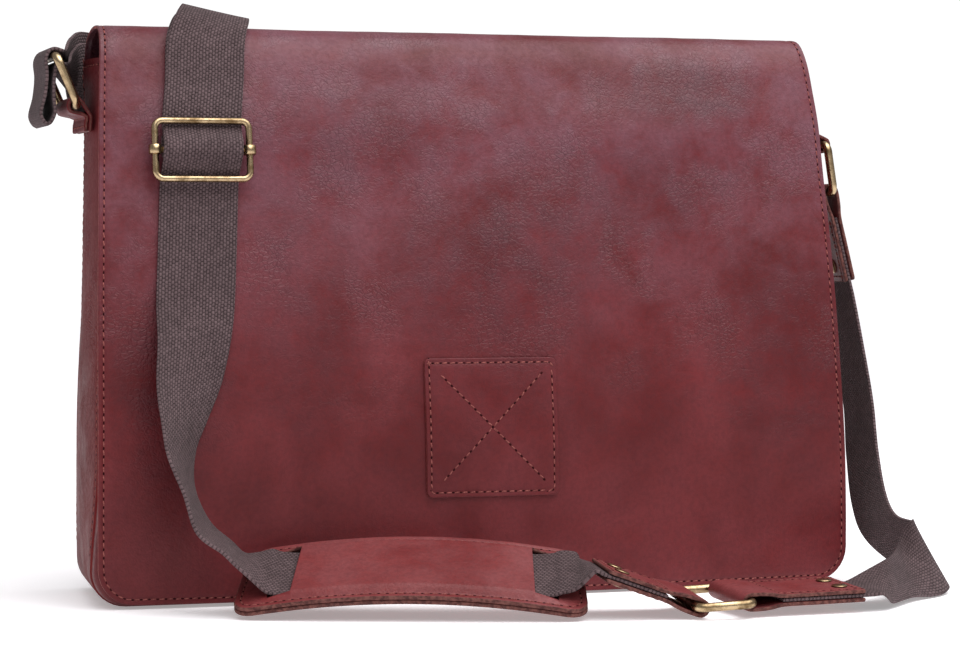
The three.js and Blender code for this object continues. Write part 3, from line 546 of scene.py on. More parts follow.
def stitchTree():
    kinds = {"Pitch": "NodeSocketFloat", "Lean": "NodeSocketFloat", "Uneven": "NodeSocketFloat",
             "Seed": "NodeSocketInt"}
    group, sockets, tree, given = newGroup("stitch_row", kinds)
    knot = bead("knot", stitch["long"], stitch["wide"], stitch["high"], 7, (0, 0, stitch["lift"]))
    # dark pit between stitches, a painted shade of its needle hole
    pit = bead("pit", *stitch["hole"], 5, (stitch["pitch"] / 2, 0, -stitch["lift"]))
    line = tree.add("GeometryNodeMeshToCurve", {}, {0: given["Geometry"]})
    inputs = {"Curve": line, "Length": given["Pitch"]}
    line = tree.add("GeometryNodeResampleCurve", {"mode": "LENGTH"}, inputs)
    facing = tree.attribute("facing")
    along = tree.add("GeometryNodeInputTangent")
    axes = {"primary_axis": "X", "secondary_axis": "Z"}
    turn = tree.add("FunctionNodeAxesToRotation", axes, {0: along, 1: facing})
    jitter = tree.add("FunctionNodeRandomValue", {"data_type": "FLOAT"}, {
        2: given["Uneven"] * -1.0, 3: given["Uneven"], "Seed": given["Seed"]}, 1)
    lean = tree.add("ShaderNodeCombineXYZ", {}, {2: given["Lean"] + jitter})
    leaned = tree.add("FunctionNodeRotateRotation", {"rotation_space": "LOCAL"}, {0: turn, 1: lean})
    joined = tree.add("GeometryNodeJoinGeometry", {}, {0: placed(tree, line, knot, thread, leaned)})
    tree.links.new(placed(tree, line, pit, holeShade, turn).socket, joined.socket.node.inputs[0])
    tree.add("NodeGroupOutput", {}, {0: joined})
    return group, sockets, [knot, pit]


def solidCopy(piece, name):  # plain mesh of what the modifier makes, without its path
    graph = bpy.context.evaluated_depsgraph_get()
    mesh = bpy.data.meshes.new_from_object(piece.evaluated_get(graph))
    mesh.name = name
    made = bpy.data.objects.new(name, mesh)
    bpy.context.scene.collection.objects.link(made)
    bpy.data.objects.remove(piece)
    return made


stitchGroup, stitchInputs, shapes = stitchTree()


def makeStitches(name, paths):
    row = pathMesh(name, paths)
    modifier = row.modifiers.new("stitches", "NODES")
    modifier.node_group = stitchGroup
    modifier[stitchInputs["Pitch"]] = stitch["pitch"] * mm
    modifier[stitchInputs["Lean"]] = math.radians(stitch["lean"])
    modifier[stitchInputs["Uneven"]] = math.radians(stitch["uneven"])
    modifier[stitchInputs["Seed"]] = stitch["seed"]
    return settle(solidCopy(row, name), ())


print("stitch tree made")


# Flap: one leather sheet from its seam on the back, over the top and down the front
flap = {
    "wide": 400.0, "thick": 2.0, "corner": 17.5, "drop": 1.2, "dropHigh": 60.0, "rounding": 0.45,
    "sewn": 2.7, "groove": 0.45, "seams": (3.0, 9.5), "seamHalf": 184.0,
}
creaseSizes = [(0.45, 70.0, 3.7), (0.16, 16.0, 8.1), (0.05, 5.0, 1.3)]  # depth, size and seed
flapRows = table("y z half", [
    (46.6, 222, 190), (45.4, 248, 190), (43.2, 270, 190.5), (35, 284.5, 190.8), (20, 290.6, 191),
    (4, 291.7, 191), (-8, 289, 191.3), (-16.5, 279, 192.2), (-22.5, 262, 193.4), (-27.7, 244, 194.5),
    (-32, 220, 195.4), (-38, 186, 196.8), (-43.4, 149, 198), (-48.7, 106, 199), (-51.6, 78, 199.6),
    (-53, 40, 200), (-53, 2.5, 200),
])
# Soft swellings and hollows of the front, measured forwards
frontShapes = table("x z out wide high", [
    (0, 70, 3.5, 130, 90), (-70, 200, -1.6, 60, 32), (95, 235, 1.8, 55, 24), (155, 205, -1.8, 34, 40),
    (20, 165, 1.6, 60, 40),
])
flapRun = np.append(0, np.cumsum(np.hypot(np.diff(flapRows["y"]), np.diff(flapRows["z"]))))
flapLong, crestRun = flapRun[-1], flapRun[5]
flapY, flapZ, flapHalf = (reading(flapRun, flapRows[name]) for name in ("y", "z", "half"))


def frontShape(x, z):
    out = 0.0
    for middleX, middleZ, size, wide, high in zip(*frontShapes.values()):
        out = out + size * hump(x, middleX, wide) * hump(z, middleZ, high)
    return out


def flapAt(run, x):  # the flap's outside without its creases
    ahead, behind = np.minimum(flapLong, run + 0.5), np.maximum(0, run - 0.5)
    normal = unit(vec(0, flapZ(ahead) - flapZ(behind), flapY(behind) - flapY(ahead)))
    y, z = flapY(run), flapZ(run)
    out = frontShape(x, z) * smoothStep(12, -14, y)
    place = vec(x, y, z) + normal * out[..., None]
    sag = 1 - (x / (flap["wide"] / 2)) ** 2
    place[..., 2] -= flap["drop"] * sag * smoothStep(flap["dropHigh"], 0, flapLong - run)
    return place, normal


def flapFront(x, z):  # the flap's front at a height
    x, z = np.broadcast_arrays(np.asarray(x, float), np.asarray(z, float))
    low, high = np.full(z.shape, crestRun), np.full(z.shape, flapLong)
    for turn in range(40):
        middle = (low + high) / 2
        above = flapAt(middle, x)[0][..., 2] > z
        low, high = np.where(above, middle, low), np.where(above, high, middle)
    return flapAt(low, x)


def creases(place):  # soft unevenness of the leather
    return sum(depth * ripple(place, size, seed) for depth, size, seed in creaseSizes)


def groove(edge, inset, depth, wide=0.9):  # line pressed in by a row of stitches
    return -depth * hump(edge, inset, wide)


def flapSkin(run, x, edge):
    place, normal = flapAt(run, x)
    relief = creases(place) + groove(edge, flap["sewn"], flap["groove"])
    return place + normal * relief[..., None], normal


def insetLine(halfAt, start, end, inset, corner, spacing=2.0):  # down one side, along the end, up again
    runs = np.arange(start, end - corner, spacing)
    half = halfAt(np.array([end - corner]))[0]
    angles = np.radians(np.linspace(0, 90, 12))
    cornerRun = end - corner + (corner - inset) * np.sin(angles)
    cornerX = half - corner + (corner - inset) * np.cos(angles)
    run = np.concatenate([runs, cornerRun])
    side = np.concatenate([halfAt(runs) - inset, cornerX])
    count = int(2 * side[-1] / spacing)
    flat = np.linspace(-side[-1], side[-1], count)[1:-1]
    return (np.concatenate([run, np.full(len(flat), run[-1]), run[::-1]]),
            np.concatenate([-side, flat, side[::-1]]))


def makeFlap():
    runs = fineEnds(flapLong, 3.4)
    columns = fineEnds(flap["wide"], 4.0) - flap["wide"] / 2
    grid = sheetGrid(runs, columns, flapHalf(runs), 0.0, flap["corner"])
    sheet = makeSheet("leather_flap", grid, flapSkin, flap["thick"], flap["rounding"], [bagLeather, cutEdge])
    settle(sheet, ["flap"])
    run, x = insetLine(flapHalf, flap["seams"][0], flapLong, flap["sewn"], flap["corner"])
    border = flapSkin(run, x, np.full(len(run), flap["sewn"]))
    seamX = np.arange(-flap["seamHalf"], flap["seamHalf"] + 1, 2.0)
    inside = np.full(len(seamX), 9.0)
    seams = [flapSkin(np.full(len(seamX), at), seamX, inside) for at in flap["seams"]]
    makeStitches("flap_stitches", [border, *seams])
    return sheet


flapSheet = makeFlap()


# Patch: square leather with border and crossed stitching
patch = {
    "x": 2.3, "z": 87.0, "size": 70.5, "thick": 1.75, "gap": 0.08, "dome": 0.25, "corner": 3.0,
    "rounding": 0.5, "sewn": 2.5, "groove": 0.3, "cross": 9.6,
}


def patchSkin(run, x, edge):
    place, normal = flapFront(patch["x"] + x, patch["z"] + patch["size"] / 2 - run)
    dome = patch["dome"] * smoothStep(2.0, 12.0, edge)
    pressed = groove(edge, patch["sewn"], patch["groove"])
    relief = creases(place) + patch["thick"] + patch["gap"] + dome + pressed
    return place + normal * relief[..., None], normal


def makePatch():
    places = fineEnds(patch["size"], 2.4)
    half = patch["size"] / 2
    grid = sheetGrid(places, places - half, half, patch["corner"], patch["corner"])
    leather = [bagLeather, cutEdge]
    sheet = makeSheet("stitched_patch", grid, patchSkin, patch["thick"], patch["rounding"], leather)
    settle(sheet, ["flap_patch"])
    side = half - patch["sewn"]
    line = np.arange(-side, side, 2.0)
    flat = np.full(len(line), side)
    sides = [vec(line, flat), vec(flat, -line), vec(-line, -flat), vec(-flat, line)]
    loop = np.concatenate([*sides, [(-side, side)]])
    arm = np.linspace(-1, 1, 60) * (half - patch["cross"])
    paths = []
    for x, up in ((loop[:, 0], loop[:, 1]), (arm, arm), (arm, -arm)):
        edge = half - np.maximum(np.abs(x), np.abs(up))
        paths.append(patchSkin(half - up, x, edge))
    makeStitches("patch_stitches", paths)


makePatch()
print("flap and patch made")


# Body: front and back panels with rolled edges, and one gusset around both sides and the base
body = {
    "thick": 2.0, "top": 265.0, "half": 195.0, "roll": 9.0, "corner": 18.0, "rest": 1.2, "pinch": 0.9,
    "seam": 0.6,
}
sideWall = {
    "top": 275.0, "wide": 80.0, "swell": 2.0, "hem": 13.0, "hemSlope": 1.2, "hemRaise": 0.7, "hemSewn": 3.2,
    "hemGroove": 0.35, "seamSewn": 4.2, "seamGroove": 0.3, "seamShare": 0.057, "seamFoot": 26.0,
}
bodyRows = table("height front back depth", [
    (0, 202, 196, 46), (20, 202, 196.5, 46), (60, 198.5, 196.5, 46), (110, 196.5, 195.5, 46),
    (150, 194.5, 193.5, 45.6), (230, 191, 192, 43.5), (276, 189, 192, 41),
])
bodyColumns = ("front", "back", "depth")
frontHalf, backHalf, backDepth = (reading(bodyRows["height"], bodyRows[name]) for name in bodyColumns)


def frontFace(x, z):
    front = flapFront(x, np.clip(z, 4, body["top"] + 4))[0][..., 1]
    return front + flap["thick"] + body["rest"]


def backFace(x, z):
    return backDepth(z)


def makePanel(name, node, halfAt, face, towards):
    roll = body["roll"] * (1 - np.cos(np.linspace(0, math.pi / 2, 10)))
    above = np.linspace(body["corner"], body["top"], 64)
    heights = np.concatenate([roll, np.arange(body["roll"] + 1.5, body["corner"], 2.0), above])
    rolled = roll / body["half"]
    shares = np.concatenate([rolled - 1, np.linspace(-0.94, 0.94, 72), 1 - rolled[::-1]])
    z = np.repeat(heights[:, None], len(shares), 1)
    full = halfAt(np.maximum(z, body["corner"]))
    x = (full - roundCut(body["corner"], z)) * shares
    overX, overZ = np.abs(x) - (full - body["corner"]), body["corner"] - z
    cornered = (overX > 0) & (overZ > 0)
    toSide = full - np.abs(x)
    inset = np.where(cornered, body["corner"] - np.hypot(overX, overZ), np.minimum(toSide, z))
    sideways = np.where(cornered, overX, toSide < z) * np.sign(x)
    downward = np.where(cornered, overZ, toSide >= z)
    outward = unit(vec(sideways, 0, -downward) + (0, 1e-9, 0))
    bend = np.clip(1 - inset / body["roll"], 0, 1)[..., None]
    flat = np.sqrt(1 - bend * bend)
    normal = unit(outward * bend + vec(0, towards, 0) * flat)
    place = vec(x, face(x, z) - towards * body["roll"] * (1 - flat[..., 0]), z)
    relief = creases(place) * smoothStep(0, 12, inset) - body["pinch"] * hump(inset, 0, 0.8)
    place = place + normal * relief[..., None]
    panel = makeShell(name, place, place - normal * body["thick"], [bagLeather, cutEdge])
    return settle(panel, [node])


makePanel("front_wall", "front_panel", frontHalf, frontFace, -1)
makePanel("back_wall", "back_panel", backHalf, backFace, 1)


def gussetLine(halfAt):  # outline of a panel from the left top around the base: place, way out, swell
    corner = body["corner"]
    heights = sideWall["top"] - fineEnds(2 * (sideWall["top"] - corner), 4.0)
    heights = heights[heights > corner]
    angles = np.radians(np.linspace(0, 90, 10))
    half = halfAt(np.array([corner]))[0]
    upright = vec(halfAt(heights), heights, 1, 0, smoothStep(10, 60, heights))
    over, down = np.cos(angles), np.sin(angles)
    bend = vec(half - corner + corner * over, corner * (1 - down), over, down, 0)
    under = np.linspace(-1, 1, 40)[1:-1] * (half - corner)
    base = vec(under, 0, 0, 1, 0)
    right = np.concatenate([upright, bend])
    left = right * (-1, 1, -1, 1, 1)
    return np.concatenate([left, base, right[::-1]]).T


def gussetSkin(share):  # rows along the gusset, columns across it from front to back
    frontX, frontZ, outX, outZ, swell = (part[:, None] for part in gussetLine(frontHalf))
    backX, backZ = (part[:, None] for part in gussetLine(backHalf)[:2])
    start = frontFace(frontX, frontZ) + body["roll"] + body["seam"]
    end = backFace(backX, backZ) - body["roll"] - body["seam"]
    place = vec(mix(frontX, backX, share), mix(start, end, share), mix(frontZ, backZ, share))
    normal = unit(vec(outX, 0, -outZ) + 0 * place)
    edge = np.minimum(share, 1 - share) * (end - start)
    fromTop = sideWall["top"] - place[..., 2]
    onSide = swell * np.ones_like(share)
    relief = sideWall["swell"] * onSide * 4 * share * (1 - share) + creases(place) * onSide
    relief = relief - body["pinch"] * hump(edge, 0, 1.0)
    hem = smoothStep(sideWall["hem"], sideWall["hem"] - sideWall["hemSlope"], fromTop)
    relief = relief + sideWall["hemRaise"] * hem
    relief = relief + groove(fromTop, sideWall["hemSewn"], sideWall["hemGroove"])
    relief = relief + groove(edge, sideWall["seamSewn"], sideWall["seamGroove"]) * onSide
    return place + normal * relief[..., None], normal


def makeGusset():
    share = fineEnds(sideWall["wide"], 3.5)[None, :] / sideWall["wide"]
    place, normal = gussetSkin(share)
    gusset = makeShell("side_gusset", place, place - normal * body["thick"], [sideLeather, cutEdge])
    settle(gusset, ["gusset"])
    rows = []
    for at in (sideWall["seamShare"], 1 - sideWall["seamShare"]):
        spots, facing = (part[:, 0] for part in gussetSkin(np.array([[at]])))
        high = spots[:, 2] > sideWall["seamFoot"]
        for half in (spots[:, 0] < 0, spots[:, 0] > 0):
            rows.append((spots[half & high], facing[half & high]))
    span = np.linspace(0.06, 0.94, 40)[None, :]
    spots, facing = gussetSkin(span)
    sewn = int(np.argmin(np.abs(sideWall["top"] - spots[:20, 20, 2] - sideWall["hemSewn"])))
    for row in (sewn, len(spots) - 1 - sewn):
        rows.append((spots[row], facing[row]))
    makeStitches("gusset_stitches", rows)


makeGusset()
print("body made")


# Wire rings
ring = {"long": 49.0, "corner": 4.5, "wire": 2.25}
toDepth, toRight = np.array([0.0, 1.0, 0.0]), np.array([1.0, 0.0, 0.0])
leftTabBar, leftFreeBar = np.array([-202.5, 14, 250.5]), np.array([-213, 14, 275.3])
rightTabBar, rightFreeBar = np.array([206, 12, 234.5]), np.array([210, 12, 208.5])
floorLeftBar, floorRightBar = np.array([71.5, -148.8, 7.3]), np.array([99.2, -151.4, 8.7])
floorWidth = unit([0.09, 0.985, 0.05])


def makeWire(name, node, middle, first, second, long, short, corner, radius):  # rounded rectangle of wire
    angles = np.radians(np.linspace(0, 90, 9))
    straight = np.linspace(0, 1, 14)[1:-1, None]
    corners = []
    for a, b, start in ((1, 1, 0), (-1, 1, 90), (-1, -1, 180), (1, -1, 270)):
        turn = angles + math.radians(start)
        corners.append(vec(a * (long / 2 - corner) + corner * np.cos(turn),
                           b * (short / 2 - corner) + corner * np.sin(turn)))
    flat = []
    for order in range(4):
        after = corners[(order + 1) % 4]
        flat += [corners[order], mix(corners[order][-1], after[0], straight)]
    flat = np.concatenate(flat)
    path = middle + flat[:, :1] * first + flat[:, 1:] * second
    axis = unit(np.cross(first, second))
    outward = unit(np.cross(unit(np.roll(path, -1, 0) - np.roll(path, 1, 0)), axis))
    turns = np.linspace(0, 2 * math.pi, 16, endpoint=False)
    rim = outward[:, None] * np.cos(turns)[:, None] + axis * np.sin(turns)[:, None]
    uneven = 1 + 0.025 * ripple(path, 7.0, 5.5)
    points = (path[:, None] + rim * (radius * uneven)[:, None, None]).reshape(-1, 3)
    count, sides = len(path), len(turns)
    faces = []
    for order in range(count):
        for side in range(sides):
            here, there, beside = order * sides, (order + 1) % count * sides, (side + 1) % sides
            faces.append((here + side, there + side, there + beside, here + beside))
    return settle(makeObject(name, points, faces, [oldBrass]), [node])


def makeRing(name, node, tabBar, freeBar, across):
    over = unit(freeBar - tabBar)
    width = unit(across - over * np.dot(across, over))
    between = np.linalg.norm(freeBar - tabBar)
    middle = (tabBar + freeBar) / 2
    makeWire(name, node, middle, width, over, ring["long"], between, ring["corner"], ring["wire"])


makeRing("left_wire_ring", "ring_left", leftTabBar, leftFreeBar, toDepth)
makeRing("right_wire_ring", "ring_right", rightTabBar, rightFreeBar, toDepth)
makeRing("strap_wire_ring", "connector_ring", floorLeftBar, floorRightBar, floorWidth)


# Straps: sheets that follow stations of a place and a width direction
strap = {"web": 1.8, "leather": 1.8, "wide": 40.0, "endWide": 41.6, "wrap": 0.5, "webRounding": 0.7}


def station(place, across):
    return np.concatenate([np.asarray(place, float), unit(across)])


def bandSkin(stations, thick):  # skin of a band along its stations, and its length
    stations = np.array(stations)
    t = np.linspace(0, len(stations) - 1, 24 * (len(stations) - 1) + 1)
    middle = catmull(stations[:, :3], t)
    along = catmull(stations[:, :3], t, True)
    across = unit(catmull(stations[:, 3:], t))
    normal = unit(np.cross(along, across))
    length = np.append(0, np.cumsum(np.linalg.norm(np.diff(middle, axis=0), axis=1)))

    def read(values, run):
        return np.stack([np.interp(run, length, values[:, i]) for i in range(3)], -1)

    def skin(run, x, edge):
        facing = unit(read(normal, run))
        place = read(middle, run) + read(across, run) * np.asarray(x)[..., None] + facing * thick / 2
        return place, facing
    return skin, length[-1]


def makeBand(name, node, skin, long, wide, thick, materials, spacing,
             corner=0.0, rounding=0.5, bare=0.0):
    runs = fineEnds(long, spacing)
    half = wide / 2
    near = edgeSteps[:10]
    columns = np.concatenate([near - half, np.linspace(-half + 6, half - 6, 9), half - near[::-1]])
    grid = sheetGrid(runs, columns, half, corner, corner)
    return settle(makeSheet(name, grid, skin, thick, rounding, materials, None, bare), [node])


# Tabs of the two rings on the gusset
tabs = {
    "left": {"far": 237.5, "near": 245.5}, "right": {"far": 256.0, "near": 243.0}, "wide": 38.0,
    "clear": 1.0, "gap": 0.4, "sewn": (2.6, 7.6), "corner": 1.5,
}


def makeTab(name, node, bar, sign, sewn, turn):
    loop = ring["wire"] + strap["wrap"] + strap["leather"] / 2

    def onSide(z, layer):
        half = mix(frontHalf(np.array([z]))[0], backHalf(np.array([z]))[0], 0.5) + sideWall["swell"]
        out = half + tabs["clear"] + strap["leather"] / 2 + layer * (strap["leather"] + tabs["gap"])
        return np.array([sign * out, bar[1], z])

    foot = onSide(sewn["near"], 0)
    toBar = math.atan2(bar[2] - foot[2], sign * (bar[0] - foot[0]))
    angles = toBar + turn * math.pi * (np.linspace(0, 1, 7) - 0.5)
    bend = [bar + (sign * loop * math.cos(angle), 0, loop * math.sin(angle)) for angle in angles]
    heights = np.linspace(sewn["far"], sewn["near"], 3)
    places = [onSide(z, 0) for z in heights] + bend + [onSide(z, 1) for z in heights[::-1]]
    skin, long = bandSkin([station(place, toDepth) for place in places], strap["leather"])
    back = bandSkin([station(place, -toDepth) for place in places], strap["leather"])[0]
    makeBand(name, node, skin, long, tabs["wide"], strap["leather"], [sideLeather, layerEdge],
             1.2, tabs["corner"])
    x = np.arange(-tabs["wide"] / 2 + 3, tabs["wide"] / 2 - 2, 2.0)
    facing = skin if sign * skin(np.array([long - 5.0]), np.zeros(1), 0)[1][0, 0] > 0 else back
    return [facing(np.full(len(x), long - at), x, 0) for at in tabs["sewn"]]


tabRows = makeTab("left_ring_tab", "ring_tab_left", leftTabBar, -1, tabs["left"], -1)
tabRows += makeTab("right_ring_tab", "ring_tab_right", rightTabBar, 1, tabs["right"], 1)
makeStitches("tab_stitches", tabRows)
print("rings and tabs made")


# Shoulder pad: two sewn leather layers, tilted against the bag, with the webbing between them
pad = {
    "wide": 57.0, "tilt": 24.4, "arch": 9.0, "splay": 8.6, "layer": 2.2, "corner": 11.0, "rounding": 0.6,
    "bare": 0.6, "slitIn": (21.8, 19.4), "slitHalf": 5.6, "slitSlope": 2.5, "raise": 2.6, "raiseFrom": 25.2,
    "web": 21.0, "sewn": 3.2, "groove": 0.35, "gap": 0.3,
}
padLeft, padRight = np.array([-143.3, -107.2, 0.3]), np.array([15.5, -162, 0.3])
padAlong = unit(padRight - padLeft)
padLong = np.linalg.norm(padRight - padLeft)
padTilt = math.radians(pad["tilt"])
padAcross = vec(-padAlong[1], padAlong[0], 0) * math.cos(padTilt) + (0, 0, math.sin(padTilt))
padNormal = np.cross(padAlong, padAcross)
slits = (pad["slitIn"][0], padLong - pad["slitIn"][1])


def padAt(along, across, lift):
    along, across, lift = np.broadcast_arrays(along, across, lift)
    share = np.clip(along / padLong, 0, 1)
    rise = pad["arch"] * (1 - (2 * share - 1) ** 2) + lift
    along = along + pad["splay"] * (0.5 - along / padLong) * across / pad["wide"]
    return (padLeft + along[..., None] * padAlong + (pad["wide"] / 2 + across)[..., None] * padAcross
            + rise[..., None] * padNormal)


def padFace(along, across, edge):
    slope = pad["slitSlope"]
    covered = smoothStep(slits[0] - slope, slits[0] + slope, along)
    covered = covered * smoothStep(slits[1] + slope, slits[1] - slope, along)
    raised = pad["raise"] * covered * smoothStep(pad["raiseFrom"], pad["web"] - 0.8, np.abs(across))
    lift = 2 * pad["layer"] + pad["gap"] + raised
    flat = padAt(along, across, lift)
    lift = lift + groove(edge, pad["sewn"], pad["groove"]) + 0.12 * ripple(flat, 14.0, 2.2)
    return padAt(along, across, lift), np.broadcast_to(padNormal, flat.shape)


def padBacking(along, across, edge):
    return padAt(along, across, pad["layer"] + 0 * edge), np.broadcast_to(padNormal, np.shape(along) + (3,))


def makePad():
    half = pad["wide"] / 2
    slitEdges = np.array([[slit - pad["slitHalf"], slit + pad["slitHalf"]] for slit in slits])
    near = slitEdges[:, :, None] + np.array([-1.0, -0.4, 0, 0.4, 1.0])
    rows = np.concatenate([edgeSteps, padLong - edgeSteps, np.arange(12, padLong - 11, 2.2), near.ravel()])
    for first, last in slitEdges:
        rows = rows[(rows <= first) | (rows >= last)]
    rows = np.unique(np.round(rows, 4))
    inner = np.append(-half + edgeSteps[:-2], -pad["web"] + 0.4)
    columns = np.unique(np.concatenate([inner, -inner, [-pad["web"], pad["web"]], np.linspace(-19, 19, 18)]))
    grid = sheetGrid(rows, columns, half, pad["corner"], pad["corner"])
    middleRow, middleColumn = (rows[1:] + rows[:-1]) / 2, (columns[1:] + columns[:-1]) / 2
    inSlit = np.any([(middleRow > first) & (middleRow < last) for first, last in slitEdges], 0)
    keep = ~(inSlit[:, None] & (np.abs(middleColumn) < pad["web"]))
    make = (pad["layer"], pad["rounding"], [strapSkin, layerEdge])
    face = makeSheet("pad_front_leather", grid, padFace, *make, keep, pad["bare"])
    settle(face, ["pad_face"])
    backing = makeSheet("pad_back_leather", grid, padBacking, *make, None, pad["bare"])
    settle(backing, ["pad_backing"])

    def evenHalf(along):
        return np.full(along.shape, half)

    run, x = insetLine(evenHalf, padLong / 2, padLong, pad["sewn"], pad["corner"])
    run = np.concatenate([run, padLong - run])
    x = np.concatenate([x, -x])
    border = padFace(run, x, np.full(len(run), pad["sewn"]))
    makeStitches("pad_stitches", [border])


makePad()


# Folded leather ends of the strap, each around a ring's bar with both layers running away from it
rivet = {"cap": 4.0, "dome": 0.9, "shank": 1.9, "lift": 0.25, "fromEnd": 9.0, "apart": 8.5, "sides": 20}
rivetHead = [(0, 0.94), (0.2, 1), (0.5, 0.96), (0.8, 0.78), (0.97, 0.4), (1, 0)]  # shares of dome and cap
foldEnd = {"gap": 0.35, "corner": 2.0, "bare": 0.6, "sewnFrom": 17.0, "sewnSide": 2.6, "sewnEnd": 3.2}
sandwich = strap["web"] / 2 + foldEnd["gap"] + strap["leather"] / 2
foldTop = sandwich + strap["leather"] / 2
padLeaving = {"past": 6.0, "lift": 12.1}
padLeave = padAt(padLong + padLeaving["past"], 0.0, padLeaving["lift"])
folds = {
    "connector_left": {
        "bar": floorLeftBar, "away": padLeave - floorLeftBar, "width": floorWidth, "long": 49, "slack": 3.2,
    },
    "connector_right": {
        "bar": floorRightBar, "away": (61.5, 3, 0.8), "width": floorWidth, "long": 62, "slack": 3.2,
    },
    "hanger_tab": {
        "bar": rightFreeBar, "away": (12, 0, -48.5), "width": toDepth, "long": 50, "slack": 0.3,
    },
}


def foldAxes(fold):
    d = unit(fold["away"])
    w = unit(fold["width"] - d * np.dot(fold["width"], d))
    return d, w, unit(np.cross(w, d))


def makeFold(node, fold):
    d, w, n = foldAxes(fold)
    loop = ring["wire"] + strap["wrap"] + strap["leather"] / 2
    long, slack = fold["long"], fold["slack"]

    def at(run, rise):
        return station(fold["bar"] + d * (run - slack) + n * rise, w)

    def layer(side):
        rise = side * sandwich
        return [at(long, rise), at(long * 0.6, rise), at(15 + slack, rise),
                at(8 + slack, side * mix(sandwich, loop, 0.7)), at(3 + slack, side * loop)]

    angles = -math.pi / 2 - np.linspace(0, 1, 7)[1:-1] * math.pi
    bend = [at(loop * math.cos(angle), loop * math.sin(angle)) for angle in angles]
    stations = layer(-1) + [at(0, -loop)] + bend + [at(0, loop)] + layer(1)[::-1]
    skin, length = bandSkin(stations, strap["leather"])
    makeBand("leather_" + node, node, skin, length, strap["endWide"], strap["leather"],
             [strapSkin, layerEdge], 1.2, foldEnd["corner"], bare=foldEnd["bare"])
    rows = []
    half = strap["wide"] / 2
    sewnSide = half - foldEnd["sewnSide"]
    runs = np.arange(foldEnd["sewnFrom"], long - 2.5, 2.0)
    across = np.arange(-half + 3, half - 2.5, 2.0)
    for face in (-n, n):
        for x in (-sewnSide, sewnSide):
            line = fold["bar"] + np.outer(runs - slack, d) + w * x
            rows.append((line + face * foldTop, face))
        for run in (foldEnd["sewnFrom"], long - foldEnd["sewnEnd"]):
            line = fold["bar"] + d * (run - slack) + np.outer(across, w)
            rows.append((line + face * foldTop, face))
    return rows


foldRows = [row for node, fold in folds.items() for row in makeFold(node, fold)]
makeStitches("strap_end_stitches", foldRows)


# Rivets: two in each folded end
def rivetTree():
    group, sockets, tree, given = newGroup("rivets", {"Size": "NodeSocketFloat"})
    top = foldTop + rivet["lift"]
    head = [(top + rivet["dome"] * rise, rivet["cap"] * out) for rise, out in rivetHead]
    profile = [(top, rivet["shank"]), *head]
    rows = [(-along, radius) for along, radius in profile[::-1]] + profile
    shape = makeObject("rivet", *turned(rows, rivet["sides"]), [])
    points = tree.add("GeometryNodeMeshToPoints", {}, {0: given["Geometry"]})
    axes = {"primary_axis": "X", "secondary_axis": "Z"}
    turn = tree.add("FunctionNodeAxesToRotation", axes, {0: tree.attribute("facing")})
    sized = placed(tree, points, shape, oldBrass, turn)
    tree.links.new(given["Size"].socket, tree.nodes["Instance on Points"].inputs["Scale"])
    tree.add("NodeGroupOutput", {}, {0: sized})
    return group, sockets, shape


def makeRivets():
    group, sockets, shape = rivetTree()
    shapes.append(shape)
    spots, nodes = [], []
    for node, fold in folds.items():
        d, w, n = foldAxes(fold)
        middle = fold["bar"] + d * (fold["long"] - fold["slack"] - rivet["fromEnd"])
        spots += [(np.array([middle + w * side * rivet["apart"]]), n) for side in (-1, 1)]
        nodes += ["rivet_" + node + "_front", "rivet_" + node + "_back"]
    path = pathMesh("rivet_spots", spots)
    modifier = path.modifiers.new("rivets", "NODES")
    modifier.node_group = group
    modifier[sockets["Size"]] = 1.0
    settle(solidCopy(path, "brass_rivets"), nodes)


makeRivets()
print("pad and strap ends made")


# Slider: wire frame with a centre bar that has a collar at each end
slider = {
    "x": -144.3, "z": 226.5, "wide": 48.0, "high": 29.5, "wire": 1.75, "corner": 4.0, "frameLift": 7.6,
    "barLift": 7.0, "bar": 1.6, "gap": 0.7,
}
collar = {"inner": 1.8, "outer": 3.3, "long": 5.0, "bevel": (0.5, 0.6), "sides": 20}
sliderPlace, sliderFace = flapFront(slider["x"], slider["z"])
sliderUp = unit(vec(0, sliderFace[2], -sliderFace[1]))


def makeSlider():
    middle = sliderPlace + sliderFace * slider["frameLift"]
    makeWire("slider_wire", "slider_frame", middle, toRight, sliderUp, slider["wide"], slider["high"],
             slider["corner"], slider["wire"])
    points, faces = [], []
    half = slider["wide"] / 2
    barMiddle = sliderPlace + sliderFace * slider["barLift"]
    end, outer = collar["long"] / 2, collar["outer"]
    along, across = collar["bevel"]
    rim = [(end, 0.0), (end, collar["inner"]), (end, outer - across), (end - along, outer)]
    tube = [(-place, radius) for place, radius in rim] + rim[::-1]
    rod = [(-half, 0.0), (-half, slider["bar"]), (half, slider["bar"]), (half, 0.0)]
    shapesHere = [(rod, barMiddle, toRight)]
    shapesHere += [(tube, middle + toRight * sign * half, sliderUp) for sign in (-1, 1)]
    for rows, base, axis in shapesHere:
        first = unit(np.cross(axis, sliderFace))
        second = np.cross(axis, first)
        local, around = turned(rows, collar["sides"])
        start = sum(len(part) for part in points)
        points.append(base + local[:, :1] * axis + local[:, 1:2] * first + local[:, 2:] * second)
        faces += [tuple(start + corner for corner in face) for face in around]
    bar = makeObject("slider_rod", np.concatenate(points), faces, [oldBrass])
    settle(bar, ["slider_bar"])


makeSlider()


# Long webbing: from its sewn end on the slider, over the top to the left ring, back and down to the pad
strapRows = table("height x", [
    (40, -155), (58, -158.5), (70, -162), (85, -161), (95, -159), (133, -151.5), (178, -147.6),
    (243, -143), (290, -136.4),
])
